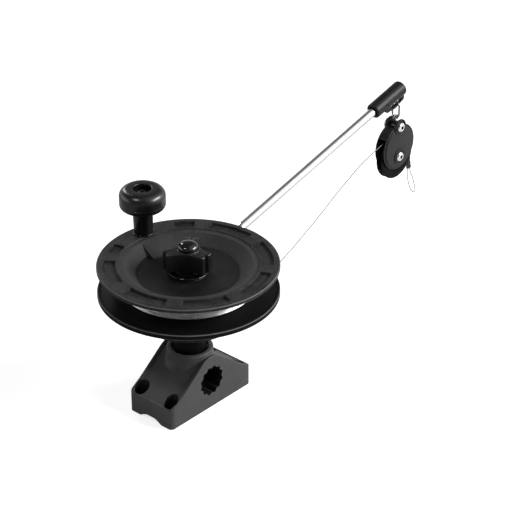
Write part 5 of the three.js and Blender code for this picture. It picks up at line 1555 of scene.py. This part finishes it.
def make_knob():
    """The round knob: a full shoulder, a barely swelling side with one fine parting line, and the screw's recess."""
    seam, seam_half, side = KNOB_BOTTOM + 5.4, 0.12, KNOB_RADIUS
    corners = [(KNOB_BORE, KNOB_BOTTOM), (11.0, KNOB_BOTTOM, 0.5), (side - 0.15, KNOB_BOTTOM, 4.2)]
    corners += [(side, seam - seam_half, 0.05), (side - seam_half, seam, 0.05), (side, seam + seam_half, 0.05)]
    corners += [(side, KNOB_TOP, mm("knob_shoulder")), (8.0, KNOB_TOP, 0.7)]
    corners += [(7.8, JOURNAL_TOP - 0.3, 0.4), (KNOB_BORE, JOURNAL_TOP - 0.3)]
    dress(solid("knob", at_stem(lathe(corners, 144, 14))), "crank", "gloss_black", "crank_knob")


class DOWNRIGGER_OT_crank(bpy.types.Operator):
    """Makes the crank's stem, its knob and the screw that holds it"""

    bl_idname = "downrigger.crank"
    bl_label = "Crank"

    def execute(self, context):
        make_stem()
        make_knob()
        return {"FINISHED"}


# Drag clutch.

# The knob's levels, how far its lobes reach, their width, their turn in degrees, and its radius at the waist.
CLUTCH_TOP = 144.6
CLUTCH_SKIRT = 128.3
LOBE_REACH = 20.3
LOBE_WIDTH = 11.4
LOBE_TURN = 2.6
WAIST = 10.3


def clutch_reach(angle, inset):
    """The knob's radius by the turn: the lesser of a flat lobe end and a hollow side, blended at the corner. A hollow
    side is an arc through two lobe corners and the waist."""
    half = LOBE_WIDTH / 2
    spread = math.atan2(half, LOBE_REACH)
    reach = math.hypot(half, LOBE_REACH)
    sweep = TURN / 3
    off = (angle - math.radians(LOBE_TURN) + sweep / 2) % sweep - sweep / 2
    flat = (LOBE_REACH - inset) / np.cos(off)
    half_angle = sweep / 2 - spread
    chord, sag = reach * math.sin(half_angle), reach * math.cos(half_angle) - WAIST
    arc = (chord**2 + sag**2) / (2 * sag)
    centre, grown = WAIST + arc, arc + inset
    away = sweep / 2 - np.abs(off)
    across = centre * np.sin(away)
    hollow = centre * np.cos(away) - np.sqrt(np.maximum(grown**2 - across**2, 0.01))
    return eased_most(flat, hollow, -4.0, 17)


def make_clutch_knob():
    """The three-lobed knob: its outline carried up with rounded edges, a low collar on top and the hub below."""
    edge, top, low, hub_low, floor = 0.6, CLUTCH_TOP, CLUTCH_SKIRT, 125.6, 135.9
    hub, bore, socket = 12.0, 4.3, 6.8
    angle = ring_turns(288)

    def row(height, radius):
        """One row of the surface, as heights and radii by the turn."""
        return np.stack([height + 0 * angle, radius + 0 * angle])

    def lobes(height, turn):
        """A row on the rounded edge, drawn in by edge (1 - cos turn)."""
        return row(height, clutch_reach(angle, edge * (1 - np.cos(turn))))

    turns = np.linspace(0, math.pi / 2, 6)
    rim = np.minimum(clutch_reach(angle, edge + 0.6), 9.9)
    rows = [row(hub_low, hub), row(low, hub), row(low, hub + 1)]
    rows += [lobes(low + edge - edge * np.sin(turn), turn) for turn in turns[::-1]]
    rows += [lobes(top - edge + edge * np.sin(turn), turn) for turn in turns]
    rows += [row(top, rim), row(top + 0.35, np.minimum(rim, 9.6)), row(top + 0.5, np.minimum(rim, 9.3))]
    rows += [row(top + 0.5, bore), row(floor, bore), row(floor, socket), row(hub_low, socket)]
    table = np.array(rows)
    points = polar(table[:, 1], angle, table[:, 0])
    made = solid("clutch_star", shell(points, close_rows=True))
    dress(made, "clutch", "clutch_black", "clutch_knob", sharp=42)


def make_cap():
    """The domed cap: a quarter ellipse over a short rolled wall."""
    seat, radius, height = CLUTCH_TOP + 0.8, 8.6, 5.4
    turn = np.linspace(0, math.pi / 2, 22)
    dome = np.stack([radius * np.cos(turn) ** 0.82, seat + 0.9 + (height - 0.9) * np.sin(turn)], -1)
    foot = np.array([(0, seat), (radius - 0.35, seat), (radius - 0.08, seat + 0.25)])
    made = solid("clutch_dome", shell(turned(np.vstack([foot, dome]), 112)))
    dress(made, "clutch", "gloss_black", "clutch_cap", paint="cap_gloss")


def make_drag():
    """The washer under the clutch knob."""
    bore, radius, low, high = 4.3, 17.3, 123.8, 125.3
    disc = washer(bore, radius, low, high, 0.4, 0.55, 128)
    dress(solid("drag_disc", disc), "drag", "stainless", "drag_washer", paint="cap_gloss")


class DOWNRIGGER_OT_clutch(bpy.types.Operator):
    """Makes the drag clutch's knob, its domed cap and the washer under it"""

    bl_idname = "downrigger.clutch"
    bl_label = "Drag clutch"

    def execute(self, context):
        make_clutch_knob()
        make_cap()
        make_drag()
        return {"FINISHED"}


# Pulley block.

# A plate's round part with its rise above the axle, its lug, and both faces' offsets, the wheel, and where the wall
# between the plates starts and ends, in degrees.
CHEEK_RADIUS = 22.4
CHEEK_RISE = 9.7
LUG_RADIUS = 7.3
CHEEK_INNER = 3.7
CHEEK_OUTER = 6.0
SHEAVE_RADIUS = 22.5
SHROUD_FIRST = 103.0
SHROUD_LAST = 147.0
LINK_WIRE = 1.8


def cheek_outline():
    """The plate's edge in Y and Z about the disc's middle: the farther of the disc and the lug, eased where they
    meet."""
    turn = np.unique(np.round(np.concatenate([ring_turns(220), math.pi / 2 + np.linspace(-0.5, 0.5, 81)]), 6))
    off = turn - math.pi / 2
    lug_rise = HANGER_RISE - CHEEK_RISE
    inside = LUG_RADIUS**2 - (lug_rise * np.sin(off)) ** 2
    reach = lug_rise * np.cos(off) + np.sqrt(np.maximum(inside, 0))
    lug = np.where((inside > 0) & (np.cos(off) > 0), reach, CHEEK_RADIUS - 6)
    return polar(eased_most(lug, CHEEK_RADIUS, 2.2, 22), turn)


def cheek_shells(side):
    """A plate with a low outer band, a raised round face and two raised rings about each screw."""
    centre = above_axle(CHEEK_RISE)
    band, face = CHEEK_OUTER - 0.75, CHEEK_OUTER
    low, high = sorted((side * (CHEEK_INNER + 0.5), side * band))
    plate = about_x(slab(cheek_outline(), low, high, 0.55), centre)
    low, high = sorted((side * (band - 0.4), side * face))
    disc = polar(CHEEK_RADIUS - 2.6, ring_turns(160))
    shells = [plate, about_x(slab(disc, low, high, 0.5), centre)]
    foot, proud = side * (band - 0.2), side * (CHEEK_OUTER + 0.65)
    for rise in (0.0, HANGER_RISE):
        for inner, outer in ((4.7, 5.7), (6.4, 7.6)):
            ring = [(inner - 0.1, foot), (outer + 0.1, foot), (outer, proud, 0.3), (inner, proud, 0.3)]
            shells.append(about_x(lathe(ring, 96), above_axle(rise)))
    return shells


def make_shroud():
    """The wall that joins the cheeks above the cable's way in, an arc about the cheeks' middle."""
    turn = np.radians(np.linspace(SHROUD_FIRST, SHROUD_LAST, 40))
    outline = np.vstack([polar(CHEEK_RADIUS - 0.3, turn), polar(CHEEK_RADIUS - 2.2, turn[::-1])])
    wall = about_x(slab(outline, -CHEEK_INNER - 0.6, CHEEK_INNER + 0.6), above_axle(CHEEK_RISE))
    dress(solid("block_shroud", wall), "block", "tip_plastic")


def make_cheeks():
    """The front and the back plate."""
    for side, name in ((1, "front"), (-1, "back")):
        made = solid("plate_" + name, *cheek_shells(side))
        dress(made, "block", "tip_plastic", "cheek_" + name, paint="cheek_plastic")


def make_sheave():
    """The grooved wheel: a section with rounded lips, a deep vee and thinned webs."""
    lip, floor, mouth, web = 3.3, 0.85, 2.2, 2.2
    bore, hub, ring, groove = 4.6, 7.2, 16.0, 19.5
    half = [(bore, lip), (hub, lip, 0.3), (hub + 0.4, web, 0.4), (ring, web, 0.4), (ring + 0.4, lip, 0.4)]
    half += [(SHEAVE_RADIUS, lip, 0.5), (SHEAVE_RADIUS, mouth, 0.4), (groove, floor, 0.6)]
    corners = [(radius, -height, *edge) for radius, height, *edge in half] + half[::-1]
    wheel = about_x(lathe(corners, 160), AXLE)
    dress(solid("wheel_groove", wheel), "wheel", "gloss_black", "sheave", paint="wheel_black")


def make_link():
    """The long link: half circles and straights, closed on itself."""
    width = LINK_HIGH[0] - LINK_LOW[0]
    bend = (width - LINK_WIRE) / 2
    low, high = LINK_LOW[2] + width / 2, LINK_HIGH[2] - width / 2
    top, bottom = np.linspace(0, math.pi, 25), np.linspace(math.pi, TURN, 25)
    x = np.concatenate([bend * np.cos(top), bend * np.cos(bottom)])
    z = np.concatenate([high + bend * np.sin(top), low + bend * np.sin(bottom)])
    path = np.stack([BOOM_SIDE + x, np.full_like(x, AXLE[1]), z], -1)
    made = solid("snap_link", swept(path, LINK_WIRE / 2, 20, ALONG_Y, closed=True))
    dress(made, "hanger", "stainless", "hanger_link", sharp=60, paint="link_steel")


def make_swivel():
    """The eye, a ring with its shank, and the knuckle on the upper screw."""
    bend, wire, shaft, turn = 2.7, 0.75, 0.9, ring_turns(56)
    middle = LINK_LOW[2] + LINK_WIRE + 0.3 - (bend - wire)
    x = np.full_like(turn, BOOM_SIDE)
    path = np.stack([x, AXLE[1] + bend * np.cos(turn), middle + bend * np.sin(turn)], -1)
    ring = swept(path, wire, 18, ALONG_X, closed=True)
    low = HANGER[2] + 3.1
    shank = lathe([(0, low), (shaft, low, 0.2), (shaft, middle - bend + 0.2), (0, middle - bend + 0.3)], 40)
    eye = solid("swivel_ring", ring[:2] + (None,), moved(shank, (BOOM_SIDE, AXLE[1], 0)))
    dress(eye, "hanger", "stainless", "swivel_eye", sharp=60, paint="link_steel")
    knuckle = about_x(washer(2.8, 3.9, -3.4, 3.4, 0.4, 0.4, 72), HANGER)
    dress(solid("knuckle", knuckle), "block", "black_screw", "swivel_knuckle")


def make_block_screws():
    """The wheel's and the hanger's screws, with a locknut on each behind the back plate."""
    for name, rise in (("axle", 0.0), ("hanger", HANGER_RISE)):
        head = button_head(4.5, 2.4, CHEEK_OUTER + 0.3, -17.0, depth=2.3)
        bolt = solid(name + "_bolt", about_x(head, above_axle(rise)))
        dress(bolt, "block", "stainless", name + "_screw", paint="screw_steel")
        nut = solid(name + "_locknut", about_x(hex_nut(4.0, -10.3, -6.3, 2.65), above_axle(rise)))
        dress(nut, "block", "stainless", name + "_nut")


class DOWNRIGGER_OT_block(bpy.types.Operator):
    """Makes the pulley block with its link, swivel, cheeks, wheel and screws"""

    bl_idname = "downrigger.block"
    bl_label = "Pulley block"

    def execute(self, context):
        make_cheeks()
        make_shroud()
        make_sheave()
        make_link()
        make_swivel()
        make_block_screws()
        return {"FINISHED"}


# The frame's pieces that stay as they are and only take a finish.
KEPT = {
    "stainless": ("spindle", "spindle_nut"),
    "lining": ("brake_lining", "drag_lining"),
    "black_screw": ("boom_clamp_screw", "boom_clamp_nut", "boom_tip_pin", *[f"spool_screw_{i}" for i in (1, 2, 3)]),
    "bronze": ("spool_bushing", "clutch_insert", "sheave_bushing"),
}


class DOWNRIGGER_OT_kept(bpy.types.Operator):
    """Gives the small inner pieces their finishes"""

    bl_idname = "downrigger.kept"
    bl_label = "Inner pieces"

    def execute(self, context):
        for slot, names in KEPT.items():
            for node in (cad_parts[name] for name in names):
                if not node.material_slots:
                    node.data.materials.append(None)
                for holder in node.material_slots:
                    holder.material = finish(slot)
        return {"FINISHED"}


OPERATORS = (
    DOWNRIGGER_OT_stage,
    DOWNRIGGER_OT_cables,
    DOWNRIGGER_OT_bracket,
    DOWNRIGGER_OT_reel_frame,
    DOWNRIGGER_OT_boom,
    DOWNRIGGER_OT_spool,
    DOWNRIGGER_OT_winding,
    DOWNRIGGER_OT_crank,
    DOWNRIGGER_OT_clutch,
    DOWNRIGGER_OT_block,
    DOWNRIGGER_OT_kept,
)


class DOWNRIGGER_PT_panel(bpy.types.Panel):
    """Lists the downrigger's sizes, colours and pieces"""

    bl_idname = "DOWNRIGGER_PT_panel"
    bl_label = "Downrigger"
    bl_space_type = "VIEW_3D"
    bl_region_type = "UI"
    bl_category = "Downrigger"

    def draw(self, context):
        for group in (context.scene.downrigger_sizes, context.scene.downrigger_colours):
            column = self.layout.column()
            for name in group.__annotations__:
                column.prop(group, name)
        for operator in OPERATORS:
            self.layout.operator(operator.bl_idname)


CLASSES = (DownriggerSizes, DownriggerColours, *OPERATORS, DOWNRIGGER_PT_panel)


def register():
    """Adds the sizes, the colours, the operators and the panel to Blender."""
    for kind in CLASSES:
        bpy.utils.register_class(kind)
    bpy.types.Scene.downrigger_sizes = PointerProperty(type=DownriggerSizes)
    bpy.types.Scene.downrigger_colours = PointerProperty(type=DownriggerColours)


def unregister():
    """Takes them out again."""
    del bpy.types.Scene.downrigger_colours
    del bpy.types.Scene.downrigger_sizes
    for kind in reversed(CLASSES):
        bpy.utils.unregister_class(kind)


def main():
    """Makes the whole object in order."""
    register()
    for operator in OPERATORS:
        group, name = operator.bl_idname.split(".")
        getattr(getattr(bpy.ops, group), name)()


if __name__ == "__main__":
    main()
